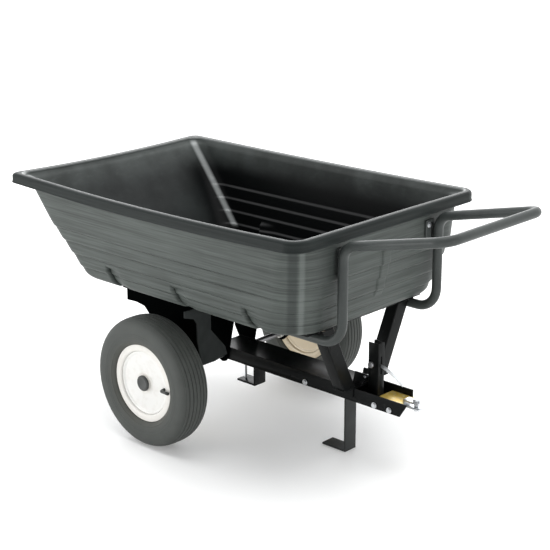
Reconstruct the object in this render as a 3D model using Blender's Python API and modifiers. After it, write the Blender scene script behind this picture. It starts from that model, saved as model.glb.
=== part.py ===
"""Garden trailer: a moulded tub that tips backwards about the axle of a two-wheeled chassis.

Metres, +Z up, +X towards the hitch. The origin is on the ground, under the middle of the outline.
Lengths along X below are measured from the axle, and one empty carries them to the part's frame.
"""

import math

import bmesh
import bpy
from mathutils import Matrix, Vector

# Clearances
SEAT = 0.0003          # between two faces that touch
RUNNING = 0.0005       # between two faces that slide past each other

# Wheels
TYRE_RADIUS = 0.2032
TYRE_WIDTH = 0.108
WHEEL_TRACK = 0.7224
RIM_FLANGE_RADIUS = 0.1210
RIM_SEAT_RADIUS = 0.1016
RIM_WIDTH = 0.0790
RIM_SHEET = 0.0025
RIM_WELL = 0.0120
DISC_INSET = 0.0060
DISC_DISH = 0.0030
HUB_RADIUS = 0.0255
HUB_WALL = 0.0030
HUB_LENGTH = 0.0720
HUB_CAP_DEPTH = 0.0075
HUB_CAP_SKIN = 0.0020
VALVE_RADIUS = 0.0055
VALVE_FOOT_RADIUS = 0.0860
VALVE_TIP_RADIUS = 0.1200
VALVE_STAND_OFF = 0.0070
VALVE_BEND = 0.0070
WHEEL_SIDES = 32
SHAFT_SIDES = 16

# Axle
AXLE_RADIUS = 0.0095
COLLAR_WALL = 0.0045

# Tub
RIM_FRONT = 0.6350
RIM_REAR = -0.6010
RIM_HALF_WIDTH = 0.4100
RIM_HEIGHT = 0.7650
RIM_SHELF = 0.0280
RIM_SKIRT = 0.0320
RIM_ROUNDING = 0.0060
RIM_FRONT_CORNER = 0.0550
RIM_REAR_CORNER = 0.0320
RIM_BOW = 0.0140
RIM_SAG = 0.0090
TUB_WALL = 0.0040
FLOOR_FRONT_CORNER = 0.1200
FLOOR_REAR_CORNER = 0.0600
WALL_FRONT_CORNER = 0.0720
WALL_REAR_CORNER = 0.0500
FLOOR_EDGE_RADIUS = 0.0200
REAR_WALL_FOOT = -0.3500
LEDGE_DROP = 0.1480
LOWEST_LEDGE = 0.0365
LEDGE_COUNT = 4
LEDGE_STEP = 0.0060
LEDGE_RISE = 0.0060
WALL_DRAFT = 0.0180
RECESS_REAR_MARGIN = 0.3880
RECESS_FRONT_MARGIN = 0.2660
RECESS_COUNT = 3
RECESS_WIDTH = 0.0620
RECESS_HEIGHT = 0.0680
RECESS_DEPTH = 0.0140
END_RIB_HALF_WIDTH = 0.0160
END_RIB_DEPTH = 0.0040
END_RIB_DROP = 0.0950
END_RIB_START = 0.0665

# Handle and frame tube
TUBE_RADIUS = 0.0145
TUBE_HALF_SPAN = 0.2165
TUBE_RUN_HEIGHT = 0.4300
TUBE_REAR = -0.2700
UPRIGHT_DROP = 0.0160
ARM_REACH = 0.3470
CROSSBAR_HEIGHT = 0.7960
FOOT_BEND = 0.0660
TOP_BEND = 0.0500
GRIP_BEND = 0.0400

# Handle clamps on the end wall
CLAMP_REACH = 0.0260
CLAMP_SHEET = 0.0059
CLAMP_DROP = 0.0250
CLAMP_HEIGHT = 0.0820
CLAMP_BOLT_INSET = 0.0140

# Cross bars between tube and tub
REAR_BAR_INSET = 0.0300
MIDDLE_BAR_X = 0.0300
FRONT_BAR_INSET = 0.1150
CROSS_BAR_WIDTH = 0.0340
CROSS_BAR_SHEET = 0.0084
CROSS_BAR_HALF_LENGTH = 0.2600

# Axle brackets
BRACKET_SHEET = 0.0050
BRACKET_FRONT = 0.1040
BRACKET_CHORD = 0.0500
BRACKET_POST_FOOT = 0.2650
BRACKET_EYE_RADIUS = 0.0240
BRACKET_FLANGE = 0.0360
BRACKET_ARM_REACH = 0.1035
BRACKET_ARM_RISE = 0.0047
BRACKET_ARM_DEPTH = 0.0205
BRACKET_NECK_REACH = 0.0530
BRACKET_NECK_FOOT = 0.2450
GUSSET_REACH = 0.0730
GUSSET_DROP = 0.0650
GUSSET_TIP = 0.2820
BUSH_WALL = 0.0040
BUSH_LENGTH = 0.0300
CENTRE_PLATE_TOP_HALF = 0.0550
CENTRE_PLATE_HEEL = 0.0350
CENTRE_PLATE_HEEL_RISE = 0.0560
CENTRE_PLATE_HEEL_DROP = 0.0480
CENTRE_PLATE_SHEET = 0.0040

# Struts and latch saddle
STRUT_WIDTH = 0.0520
STRUT_DEPTH = 0.0400
STRUT_SHEET = 0.0035
STRUT_TOP_Y = 0.1740
STRUT_FOOT_Y = 0.0750
SADDLE_LENGTH = 0.0440
SADDLE_SHEET = 0.0040
SADDLE_HALF_WIDTH = 0.1040
SADDLE_EAR_DROP = 0.0280
STRIKER_RADIUS = 0.0040
STRIKER_REACH = 0.0345
STRIKER_HEIGHT = 0.2625
LUG_SHEET = 0.0040
LUG_GAP_HALF = 0.0180

# Tongue
TONGUE_HALF_WIDTH = 0.0550
TONGUE_SHEET = 0.0030
TONGUE_BOTTOM = 0.1900
TONGUE_TOP = 0.2320
TONGUE_REAR = -0.0300
TONGUE_OVERHANG_RIGHT = 0.0450
TONGUE_CUT_BACK_LEFT = 0.0150
TONGUE_NOSE_CUT = 0.0280
TONGUE_LID_DROP = 0.0005

# Stand and step
STAND_BEHIND_STRUT = 0.0350
STAND_WIDTH = 0.0500
STAND_SHEET = 0.0060
STAND_FOOT_LENGTH = 0.0920
STAND_FLANGE = 0.0600
STEP_X = 0.1080
STEP_HEIGHT = 0.1180
STEP_LENGTH = 0.0790
STEP_FLANGE = 0.0400
STEP_BOLT_INSET = 0.0160

# Latch
POST_AHEAD = 0.0260
POST_BEHIND = 0.0110
POST_HALF_WIDTH = 0.0140
POST_SHEET = 0.0025
POST_TOP = 0.3720
POST_BASE_HALF = 0.0420
POST_BOLT_AHEAD = 0.0070
SLOT_DOWN = 0.0280
SLOT_UP = 0.0280
LATCH_PIVOT_AHEAD = 0.0165
LATCH_PIVOT_HEIGHT = 0.3030
LATCH_PIN_RADIUS = 0.0040
LATCH_HEAD_RADIUS = 0.0100
LATCH_EYE_RADIUS = 0.0085
LATCH_SHEET = 0.0050
LATCH_REACH = 0.1060
LATCH_DROP = 0.0410
SPRING_WIRE = 0.0008
SPRING_TURNS = 3
SPRING_TAIL = 0.0060

# Hitch
HITCH_PLATE_TOP = 0.2105
HITCH_PLATE_SHEET = 0.0040
HITCH_PLATE_GAP = 0.0030
HITCH_PLATE_LENGTH = 0.0900
CLEVIS_REACH = 0.0580
CLEVIS_HALF_WIDTH = 0.0150
CLEVIS_SHEET = 0.0040
CLEVIS_BOTTOM = 0.2055
CLEVIS_TOP = 0.2265
HITCH_PIN_INSET = 0.0200
HITCH_PIN_RADIUS = 0.0060
HITCH_PIN_TAIL = 0.0100
HITCH_PIN_HEAD_RADIUS = 0.0100
HITCH_PIN_HEAD = 0.0060

# Fasteners
BOLT_RADIUS = 0.0040
BOLT_HEAD_RADIUS = 0.0075
BOLT_HEAD = 0.0050
NUT_HEIGHT = 0.0060
BOLT_TAIL = 0.0030
TONGUE_BOLT_BEHIND = 0.1720
TONGUE_BOLT_HEIGHT = 0.2000
HITCH_BOLT_INSETS = (0.0170, 0.0180)
HITCH_BOLT_HEIGHT = 0.2000
FLOOR_BOLT_Y = 0.1000

# Worked out from the above
AXLE_HEIGHT = TYRE_RADIUS
WHEEL_Y = WHEEL_TRACK / 2
END_WALL = RIM_FRONT - RIM_SHELF + SEAT
CLAMP_FRONT = END_WALL + CLAMP_SHEET
UPRIGHT_X = CLAMP_FRONT + SEAT + TUBE_RADIUS
CROSSBAR_X = UPRIGHT_X + ARM_REACH
AXLE_LINE_X = -(CROSSBAR_X + TUBE_RADIUS + RIM_REAR) / 2
RECESS_FIRST = RIM_REAR + RECESS_REAR_MARGIN
RECESS_PITCH = (RIM_FRONT - RECESS_FRONT_MARGIN - RECESS_FIRST) / (RECESS_COUNT - 1)
CROSS_BAR_PLACES = (TUBE_REAR + REAR_BAR_INSET, MIDDLE_BAR_X, RIM_FRONT - FRONT_BAR_INSET)
BRACKET_REAR = TUBE_REAR
STRUT_X = CROSS_BAR_PLACES[-1]
STRIKER_X = STRUT_X + STRIKER_REACH
LATCH_PIVOT_X = STRIKER_X + LATCH_PIVOT_AHEAD
POST_FRONT = LATCH_PIVOT_X + POST_AHEAD
POST_REAR = LATCH_PIVOT_X - POST_BEHIND
POST_BOLT_X = LATCH_PIVOT_X + POST_BOLT_AHEAD
STAND_X = STRUT_X - STAND_BEHIND_STRUT
HITCH_PLATE_REAR = POST_FRONT + HITCH_PLATE_GAP
HITCH_PLATE_FRONT = HITCH_PLATE_REAR + HITCH_PLATE_LENGTH
CLEVIS_FRONT = HITCH_PLATE_FRONT + CLEVIS_REACH
HITCH_PIN_X = CLEVIS_FRONT - HITCH_PIN_INSET
TONGUE_FRONT_RIGHT = HITCH_PLATE_FRONT + TONGUE_OVERHANG_RIGHT
TONGUE_FRONT_LEFT = HITCH_PLATE_FRONT - TONGUE_CUT_BACK_LEFT
TONGUE_BOLT_PLACES = ((STRUT_X - TONGUE_BOLT_BEHIND, TONGUE_BOLT_HEIGHT),
                      (HITCH_PLATE_REAR + HITCH_BOLT_INSETS[0], HITCH_BOLT_HEIGHT),
                      (HITCH_PLATE_FRONT - HITCH_BOLT_INSETS[1], HITCH_BOLT_HEIGHT))
TUBE_TOP = TUBE_RUN_HEIGHT + TUBE_RADIUS
CROSS_BAR_FOOT = TUBE_TOP + SEAT
CROSS_BAR_TOP = CROSS_BAR_FOOT + CROSS_BAR_SHEET
STRUT_TOP = CROSS_BAR_FOOT - SEAT
SADDLE_FOOT = TONGUE_TOP + SEAT
SADDLE_TOP = SADDLE_FOOT + SADDLE_SHEET
WEB_TOP = TONGUE_BOTTOM + TONGUE_SHEET

FLOOR_HEIGHT = CROSS_BAR_TOP + SEAT
FLOOR_TOP = FLOOR_HEIGHT + TUB_WALL
SKIRT_FOOT = RIM_HEIGHT - RIM_SKIRT
LEDGE_TOP = RIM_HEIGHT - LEDGE_DROP
LEDGE_PITCH = (LEDGE_TOP - FLOOR_TOP - LOWEST_LEDGE) / (LEDGE_COUNT - 1)
END_RIB_TOP = RIM_HEIGHT - END_RIB_DROP
END_RIB_FOOT = FLOOR_HEIGHT + END_RIB_START
UPRIGHT_TOP = SKIRT_FOOT - UPRIGHT_DROP
CLAMP_TOP = SKIRT_FOOT - CLAMP_DROP
CLAMP_FOOT = CLAMP_TOP - CLAMP_HEIGHT
BRACKET_TOP = TUBE_RUN_HEIGHT - TUBE_RADIUS - SEAT
POST_FOOT = WEB_TOP + SEAT

PARTS = "garden_trailer"
CUTTERS = "cutters"


def start_scene():
    """Empty the scene and make the two collections and the empty on the ground under the axle."""
    for thing in list(bpy.data.objects):
        bpy.data.objects.remove(thing, do_unlink=True)
    for name in (PARTS, CUTTERS):
        collection = bpy.data.collections.new(name)
        bpy.context.scene.collection.children.link(collection)
    return joint_point("axle_line", None, (AXLE_LINE_X, 0.0, 0.0))


def joint_point(name, parent, place):
    """An empty on a joint's axis, which the pieces of a moving body hang from."""
    point = bpy.data.objects.new(name, None)
    point.parent = parent
    point.location = place
    bpy.data.collections[PARTS].objects.link(point)
    return point


def material(name, colour, roughness, metallic=0.0):
    """A plain Principled material, made once."""
    found = bpy.data.materials.get(name)
    if found:
        return found
    made = bpy.data.materials.new(name)
    made.use_nodes = True
    shader = made.node_tree.nodes["Principled BSDF"]
    shader.inputs["Base Color"].default_value = (*colour, 1.0)
    shader.inputs["Roughness"].default_value = roughness
    shader.inputs["Metallic"].default_value = metallic
    return made


def tub_plastic():
    return material("tub_plastic", (0.075, 0.082, 0.078), 0.55)


def black_paint():
    return material("black_paint", (0.018, 0.019, 0.020), 0.35)


def tyre_rubber():
    return material("tyre_rubber", (0.055, 0.060, 0.056), 0.80)


def white_paint():
    return material("white_paint", (0.86, 0.84, 0.81), 0.35)


def bright_zinc():
    return material("bright_zinc", (0.62, 0.63, 0.64), 0.30, 0.9)


def yellow_zinc():
    return material("yellow_zinc", (0.78, 0.58, 0.20), 0.35, 0.8)


def black_plastic():
    return material("black_plastic", (0.030, 0.032, 0.033), 0.45)


def plain_steel():
    return material("plain_steel", (0.42, 0.42, 0.43), 0.35, 0.9)


def nylon():
    return material("nylon", (0.72, 0.71, 0.66), 0.50)


def finish(thing, stuff, parent, place=(0.0, 0.0, 0.0), smooth=False):
    """Give an object its material, its parent and its place, and file it with the parts."""
    thing.data.materials.clear()
    thing.data.materials.append(stuff)
    thing.parent = parent
    thing.location = place
    file_under(thing, PARTS)
    if smooth:
        thing.data.shade_smooth()
        thing.data.set_sharp_from_angle(angle=math.radians(35))
    return thing


def file_under(thing, name):
    """Move an object to one collection."""
    for collection in list(thing.users_collection):
        collection.objects.unlink(thing)
    bpy.data.collections[name].objects.link(thing)


def mesh_object(name, bm):
    """An object from a bmesh."""
    mesh = bpy.data.meshes.new(name)
    bm.to_mesh(mesh)
    bm.free()
    thing = bpy.data.objects.new(name, mesh)
    bpy.context.scene.collection.objects.link(thing)
    return thing


def to_mesh(thing):
    """Turn a curve object into a mesh with its caps joined on, so that it can be cut or joined."""
    bpy.context.view_layer.update()
    evaluated = thing.evaluated_get(bpy.context.evaluated_depsgraph_get())
    mesh = bpy.data.meshes.new_from_object(evaluated)
    bm = bmesh.new()
    bm.from_mesh(mesh)
    bmesh.ops.remove_doubles(bm, verts=bm.verts, dist=0.00005)
    bm.to_mesh(mesh)
    bm.free()
    name = thing.name
    matrix = thing.matrix_world.copy()
    bpy.data.objects.remove(thing)
    made = bpy.data.objects.new(name, mesh)
    made.matrix_world = matrix
    bpy.context.scene.collection.objects.link(made)
    return made


def turn_to(direction):
    """The rotation that lays an object's Z axis along a direction."""
    return Vector(direction).to_track_quat("Z", "Y").to_matrix().to_4x4()


def bored(radius, sides, clearance=SEAT):
    """The corner radius of a many-sided bore whose flats clear a round of the given radius."""
    return (radius + clearance) / math.cos(math.pi / sides)


def circle(centre, radius, sides=SHAFT_SIDES, start=0.0, sweep=2 * math.pi):
    """Points round a circle or, with both its ends, along an arc."""
    count = sides if sweep == 2 * math.pi else sides + 1
    return [(centre[0] + radius * math.cos(start + sweep * i / sides),
             centre[1] + radius * math.sin(start + sweep * i / sides)) for i in range(count)]


def block(name, low, high):
    """A block between two corners."""
    size = [high[i] - low[i] for i in range(3)]
    centre = [(high[i] + low[i]) / 2 for i in range(3)]
    bm = bmesh.new()
    bmesh.ops.create_cube(bm, size=1.0, matrix=Matrix.Translation(centre) @ Matrix.Diagonal((*size, 1.0)))
    return mesh_object(name, bm)


def rod(name, centre, direction, radius, length, sides=SHAFT_SIDES):
    """A round bar about its centre."""
    bm = bmesh.new()
    bmesh.ops.create_cone(bm, cap_ends=True, segments=sides, radius1=radius, radius2=radius, depth=length,
                          matrix=Matrix.Translation(centre) @ turn_to(direction))
    return mesh_object(name, bm)


def turned(name, profile, sides, direction=(0.0, 1.0, 0.0)):
    """A piece turned about its own Z: a (radius, height) profile, closed or from axis to axis."""
    doubled_area = sum(a[0] * b[1] - b[0] * a[1] for a, b in zip(profile, [*profile[1:], profile[0]]))
    down_the_outside = profile if doubled_area < 0 else profile[::-1]
    bm = bmesh.new()
    verts = [bm.verts.new((radius, 0.0, height)) for radius, height in down_the_outside]
    for first, second in zip(verts, verts[1:]):
        bm.edges.new((first, second))
    if profile[0][0] > 0.0:
        bm.edges.new((verts[-1], verts[0]))
    thing = mesh_object(name, bm)
    screw = thing.modifiers.new("turn", "SCREW")
    screw.axis = "Z"
    screw.steps = sides
    screw.render_steps = sides
    screw.use_merge_vertices = True
    screw.merge_threshold = 0.00005
    screw.use_smooth_shade = True
    thing.rotation_euler = turn_to(direction).to_euler()
    return thing


def mirrored(half):
    """A closed profile from the half of it on the +height side, outer middle to inner middle."""
    return half + [(radius, -height) for radius, height in reversed(half) if height > 0.0]


def flat_plate(name, outline, holes, thickness, plane):
    """A flat sheet from a 2D curve: an outline with its holes, laid in the XY, XZ or YZ plane."""
    curve = bpy.data.curves.new(name, "CURVE")
    curve.dimensions = "2D"
    curve.fill_mode = "BOTH"
    curve.extrude = thickness / 2
    for loop in [outline, *holes]:
        spline = curve.splines.new("POLY")
        spline.points.add(len(loop) - 1)
        for point, (u, v) in zip(spline.points, loop):
            point.co = (u, v, 0.0, 1.0)
        spline.use_cyclic_u = True
    thing = bpy.data.objects.new(name, curve)
    bpy.context.scene.collection.objects.link(thing)
    quarter = math.pi / 2
    turns = {"XY": (0.0, 0.0, 0.0), "XZ": (quarter, 0.0, 0.0), "YZ": (quarter, 0.0, quarter)}
    thing.rotation_euler = turns[plane]
    return thing


def drill(thing, holes, sides=SHAFT_SIDES):
    """Cut round holes, each a (centre, direction, bolt radius, length) in the parent's frame."""
    for number, (centre, direction, radius, length) in enumerate(holes, start=1):
        cutter = rod(f"{thing.name}_hole_{number}", centre, direction, bored(radius, sides), length, sides)
        cut(thing, cutter)
    return thing


def cut(thing, cutter):
    """Take one solid out of another."""
    cutter.parent = thing.parent
    file_under(cutter, CUTTERS)
    cutter.hide_render = True
    cutter.display_type = "WIRE"
    boolean = thing.modifiers.new(cutter.name, "BOOLEAN")
    boolean.operation = "DIFFERENCE"
    boolean.solver = "EXACT"
    boolean.object = cutter


def weld(thing, other):
    """Join a second solid, which overlaps the first, into it."""
    cut(thing, other)
    thing.modifiers[other.name].operation = "UNION"


def bolt(name, parent, place, direction, grip, sides=6):
    """A bolt with its nut run up, placed by the middle of its head's seat."""
    nut_top = -grip - SEAT
    profile = [(0.0, BOLT_HEAD + SEAT), (BOLT_HEAD_RADIUS * 0.8, BOLT_HEAD + SEAT),
               (BOLT_HEAD_RADIUS, BOLT_HEAD * 0.6 + SEAT), (BOLT_HEAD_RADIUS, SEAT), (BOLT_RADIUS, SEAT),
               (BOLT_RADIUS, nut_top), (BOLT_HEAD_RADIUS, nut_top), (BOLT_HEAD_RADIUS, nut_top - NUT_HEIGHT),
               (BOLT_RADIUS, nut_top - NUT_HEIGHT), (BOLT_RADIUS, nut_top - NUT_HEIGHT - BOLT_TAIL),
               (0.0, nut_top - NUT_HEIGHT - BOLT_TAIL)]
    finish(turned(name, profile, sides, direction), bright_zinc(), parent, place)


def rounded_path(corners, radii, steps):
    """A path through corner points with a circular bend of the given radius at each inner one."""
    path = [Vector(corners[0])]
    for i, radius in enumerate(radii, start=1):
        before, here, after = (Vector(corners[i + k]) for k in (-1, 0, 1))
        incoming = (here - before).normalized()
        outgoing = (after - here).normalized()
        turn = incoming.angle(outgoing)
        side = (outgoing - incoming * incoming.dot(outgoing)).normalized()
        centre = here - incoming * radius * math.tan(turn / 2) + side * radius
        for k in range(steps + 1):
            angle = turn * k / steps
            path.append(centre - side * radius * math.cos(angle) + incoming * radius * math.sin(angle))
    path.append(Vector(corners[-1]))
    return path


def tube(name, path, radius, resolution=4):
    """A round bar or tube along a path, with filled ends."""
    curve = bpy.data.curves.new(name, "CURVE")
    curve.dimensions = "3D"
    curve.bevel_depth = radius
    curve.bevel_resolution = resolution
    curve.use_fill_caps = True
    spline = curve.splines.new("POLY")
    spline.points.add(len(path) - 1)
    for point, place in zip(spline.points, path):
        point.co = (*place, 1.0)
    thing = bpy.data.objects.new(name, curve)
    bpy.context.scene.collection.objects.link(thing)
    return thing


# The tub

def smooth_step(value):
    """0 below 0, 1 above 1, and a soft rise between."""
    value = min(max(value, 0.0), 1.0)
    return value * value * (3 - 2 * value)


def tub_section(z):
    """The inside of the tub at a height: front, rear, half width and the two corner radii."""
    steps = 0.0
    for i in range(LEDGE_COUNT):
        ledge = LEDGE_TOP - i * LEDGE_PITCH
        steps += LEDGE_STEP * min(max((ledge - z) / LEDGE_RISE + 0.5, 0.0), 1.0)
    depth = (RIM_HEIGHT - z) / (RIM_HEIGHT - FLOOR_TOP)
    end_draft = WALL_DRAFT * min(max((LEDGE_TOP - z) / (LEDGE_TOP - FLOOR_TOP), 0.0), 1.0)
    inset = RIM_SHELF + TUB_WALL + steps
    lift = min((z - FLOOR_TOP) / FLOOR_EDGE_RADIUS, 1.0)
    fillet = FLOOR_EDGE_RADIUS * (1.0 - math.sqrt(max(1.0 - (1.0 - lift) ** 2, 0.0)))
    slope_top = RIM_REAR + RIM_SHELF + TUB_WALL
    rear = slope_top + (REAR_WALL_FOOT - slope_top) * depth
    front_corner = WALL_FRONT_CORNER + (FLOOR_FRONT_CORNER - WALL_FRONT_CORNER) * depth
    rear_corner = WALL_REAR_CORNER + (FLOOR_REAR_CORNER - WALL_REAR_CORNER) * depth
    return (RIM_FRONT - inset - end_draft - fillet, rear + 2.2 * fillet,
            RIM_HALF_WIDTH - inset - WALL_DRAFT * depth - fillet, front_corner - fillet, rear_corner - fillet)


def recess_stations():
    """Where the side walls have points along X, to carry the recesses."""
    places = []
    for i in range(RECESS_COUNT):
        edge = RECESS_FIRST + i * RECESS_PITCH
        places += [edge - 0.0005, edge + 0.0035, edge + RECESS_WIDTH * 0.45, edge + RECESS_WIDTH]
        if i + 1 < RECESS_COUNT:
            places.append(edge + (RECESS_WIDTH + RECESS_PITCH) / 2)
    return places


def recess_depth(x, z):
    """How far a side wall is pushed in at a place: a sharp curved edge that fades forwards."""
    drop = min((FLOOR_HEIGHT + RECESS_HEIGHT - z) / RECESS_HEIGHT, 1.0)
    if drop < 0.0:
        return 0.0
    deepest = 0.0
    for i in range(RECESS_COUNT):
        edge = RECESS_FIRST + i * RECESS_PITCH
        curved = edge + RECESS_WIDTH * 0.9 * (1.0 - math.sqrt(1.0 - drop ** 2))
        along = (x - curved) / RECESS_WIDTH
        if 0.0 <= along <= 1.0:
            deepest = max(deepest, RECESS_DEPTH * (1.0 - along) * smooth_step(drop * 6.0))
    return deepest


def outline_ring(front, rear, half_width, front_corner, rear_corner):
    """The points of one level of the tub, anticlockwise from its right rear, as (x, y, place)."""
    quarter = math.pi / 2

    def corner(x, y, radius, start, steps):
        return [(*point, "corner") for point in circle((x, y), radius, steps, start, quarter)]

    ahead = front - front_corner
    behind = rear + rear_corner
    rib = END_RIB_HALF_WIDTH
    ring = [(x, -half_width, "right") for x in recess_stations()]
    ring += corner(ahead, -half_width + front_corner, front_corner, -quarter, 4)
    ring += [(front, y, "front") for y in (-rib - 0.004, -rib, rib, rib + 0.004)]
    ring += corner(ahead, half_width - front_corner, front_corner, 0.0, 4)
    ring += [(x, half_width, "left") for x in reversed(recess_stations())]
    ring += corner(behind, half_width - rear_corner, rear_corner, quarter, 3)
    ring += [(rear, y, "rear") for y in (half_width * 0.5, 0.0, -half_width * 0.5)]
    ring += corner(behind, -half_width + rear_corner, rear_corner, 2 * quarter, 3)
    return ring


def settle(x, y, z, place):
    """The slack of the moulding: its long edges bow out and droop, and its rear edge droops."""
    high = smooth_step((z - FLOOR_TOP) / (RIM_HEIGHT - FLOOR_TOP))
    middle = (RIM_FRONT + RIM_REAR) / 2
    along = max(1.0 - ((x - middle) / (RIM_FRONT - middle)) ** 2, 0.0)
    across = max(1.0 - (y / RIM_HALF_WIDTH) ** 2, 0.0)
    if place in ("right", "left"):
        side = -1.0 if place == "right" else 1.0
        push = recess_depth(x, z)
        return x, y + side * (RIM_BOW * along * high - push), z - RIM_SAG * along * high
    if place == "rear":
        return x, y, z - RIM_SAG * across * high
    if place == "front" and END_RIB_FOOT < z < END_RIB_TOP and abs(y) <= END_RIB_HALF_WIDTH:
        return x + END_RIB_DEPTH, y, z
    return x, y, z


def tub_levels():
    """The levels of the tub, from the skirt's lower edge over the rim and down to the floor."""
    def rim_ring(inset, z):
        return (RIM_FRONT - inset, RIM_REAR + inset, RIM_HALF_WIDTH - inset, RIM_FRONT_CORNER - inset,
                RIM_REAR_CORNER - inset), z

    levels = [rim_ring(0.0, SKIRT_FOOT), rim_ring(0.0, RIM_HEIGHT - RIM_ROUNDING),
              rim_ring(RIM_ROUNDING, RIM_HEIGHT), rim_ring(RIM_SHELF - RIM_ROUNDING, RIM_HEIGHT)]
    heights = [RIM_HEIGHT - 1.5 * RIM_ROUNDING, END_RIB_TOP + 0.002, END_RIB_TOP - 0.002]
    for i in range(LEDGE_COUNT):
        ledge = LEDGE_TOP - i * LEDGE_PITCH
        heights += [ledge + LEDGE_RISE / 2, ledge - LEDGE_RISE / 2]
    heights += [FLOOR_TOP + FLOOR_EDGE_RADIUS * share for share in (1.0, 0.3, 0.0)]
    return levels + [(tub_section(z), z) for z in sorted(heights, reverse=True)]


def make_tub(parent):
    """The tub: stepped walls, a turned-down rim, a sloped pouring wall and six recesses."""
    bm = bmesh.new()
    rings = []
    for section, height in tub_levels():
        places = [settle(x, y, height, place) for x, y, place in outline_ring(*section)]
        rings.append([bm.verts.new(place) for place in places])
    for outer, inner in zip(rings, rings[1:]):
        for i in range(len(outer)):
            j = (i + 1) % len(outer)
            bm.faces.new((outer[i], outer[j], inner[j], inner[i]))
    bm.faces.new(rings[-1])
    tub = mesh_object("tub", bm)
    wall = tub.modifiers.new("wall", "SOLIDIFY")
    wall.thickness = TUB_WALL
    wall.offset = -1.0
    wall.use_even_offset = True
    finish(tub, tub_plastic(), parent, smooth=True)
    holes = [((x, y, FLOOR_HEIGHT), (0, 0, 1), BOLT_RADIUS, 0.03) for x, y in floor_bolt_places()]
    holes += [((RIM_FRONT - RIM_SHELF, y, z), (1, 0, 0), BOLT_RADIUS, 0.04) for y, z in clamp_bolt_places()]
    drill(tub, holes, 12)


# What carries the tub

def floor_bolt_places():
    """The four bolts of the floor, in the first and last cross bars."""
    return [(x, side * FLOOR_BOLT_Y) for x in (CROSS_BAR_PLACES[0], CROSS_BAR_PLACES[-1]) for side in (-1, 1)]


def clamp_bolt_places():
    """The four bolts of the end wall, beside the uprights, as (y, z)."""
    across = TUBE_HALF_SPAN - CLAMP_REACH
    heights = (CLAMP_FOOT + CLAMP_BOLT_INSET, CLAMP_TOP - CLAMP_BOLT_INSET)
    return [(side * across, z) for z in heights for side in (-1, 1)]


def make_handle_frame(parent):
    """One bent tube: two runs under the tub, two uprights, two arms and the grip between them."""
    corners = [(TUBE_REAR, -TUBE_HALF_SPAN, TUBE_RUN_HEIGHT), (UPRIGHT_X, -TUBE_HALF_SPAN, TUBE_RUN_HEIGHT),
               (UPRIGHT_X, -TUBE_HALF_SPAN, UPRIGHT_TOP), (CROSSBAR_X, -TUBE_HALF_SPAN, CROSSBAR_HEIGHT)]
    corners += [(x, -y, z) for x, y, z in reversed(corners)]
    bends = [FOOT_BEND, TOP_BEND, GRIP_BEND, GRIP_BEND, TOP_BEND, FOOT_BEND]
    finish(tube("handle_frame", rounded_path(corners, bends, 6), TUBE_RADIUS), black_paint(), parent)


def make_cross_bars(parent):
    """Three flat bars, welded on the tube runs, that carry the tub's floor."""
    for number, x in enumerate(CROSS_BAR_PLACES, start=1):
        bar = block(f"cross_bar_{number}", (x - CROSS_BAR_WIDTH / 2, -CROSS_BAR_HALF_LENGTH, CROSS_BAR_FOOT),
                    (x + CROSS_BAR_WIDTH / 2, CROSS_BAR_HALF_LENGTH, CROSS_BAR_TOP))
        finish(bar, black_paint(), parent)
        holes = [((x, y, CROSS_BAR_FOOT), (0, 0, 1), BOLT_RADIUS, 0.04) for place, y in floor_bolt_places()
                 if place == x]
        drill(bar, holes, 12)
    grip = FLOOR_TOP - CROSS_BAR_FOOT
    for number, (x, y) in enumerate(floor_bolt_places(), start=1):
        bolt(f"floor_bolt_{number}", parent, (x, y, FLOOR_TOP), (0, 0, 1), grip)


def make_handle_clamps(parent):
    """A plate welded behind each upright, and the two bolts that hold it to the end wall."""
    for name, side in (("right", -1), ("left", 1)):
        inner = side * (TUBE_HALF_SPAN - CLAMP_REACH - CLAMP_BOLT_INSET)
        outer = side * TUBE_HALF_SPAN
        plate = block(f"handle_clamp_{name}", (END_WALL, min(inner, outer), CLAMP_FOOT),
                      (CLAMP_FRONT, max(inner, outer), CLAMP_TOP))
        finish(plate, black_paint(), parent)
        holes = [((END_WALL, y, z), (1, 0, 0), BOLT_RADIUS, 0.05) for y, z in clamp_bolt_places() if y * side > 0]
        drill(plate, holes, 12)
    for number, (y, z) in enumerate(clamp_bolt_places(), start=1):
        bolt(f"clamp_bolt_{number}", parent, (CLAMP_FRONT, y, z), (1, 0, 0), CLAMP_SHEET + SEAT + TUB_WALL)


def bush_radius():
    """The outside of the nylon bushes, which line the eyes of the axle brackets."""
    return bored(AXLE_RADIUS, SHAFT_SIDES, RUNNING) + BUSH_WALL


def bracket_face():
    """The outline of a bracket's front plate, as (distance out from the middle, height)."""
    side = TUBE_HALF_SPAN + TUBE_RADIUS + SEAT
    inner = TUBE_HALF_SPAN - BRACKET_SHEET
    arm_top = TUBE_RUN_HEIGHT + BRACKET_ARM_RISE
    arm_foot = arm_top - BRACKET_ARM_DEPTH
    arm_tip = TUBE_HALF_SPAN + BRACKET_ARM_REACH
    neck = TUBE_HALF_SPAN + BRACKET_NECK_REACH
    tip = TUBE_HALF_SPAN - GUSSET_REACH
    under = BRACKET_TOP - BRACKET_SHEET / 2
    return [(side, arm_top), (arm_tip, arm_top), (arm_tip, arm_foot), (neck + 0.012, arm_foot - 0.012),
            (neck, arm_foot - 0.030), (neck, arm_foot - 0.084), (neck - 0.018, BRACKET_NECK_FOOT),
            (inner - 0.016, BRACKET_NECK_FOOT), (tip, BRACKET_NECK_FOOT + 0.009), (tip + 0.008, GUSSET_TIP),
            (inner, BRACKET_TOP - GUSSET_DROP), (inner, under), (side, under)]


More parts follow.
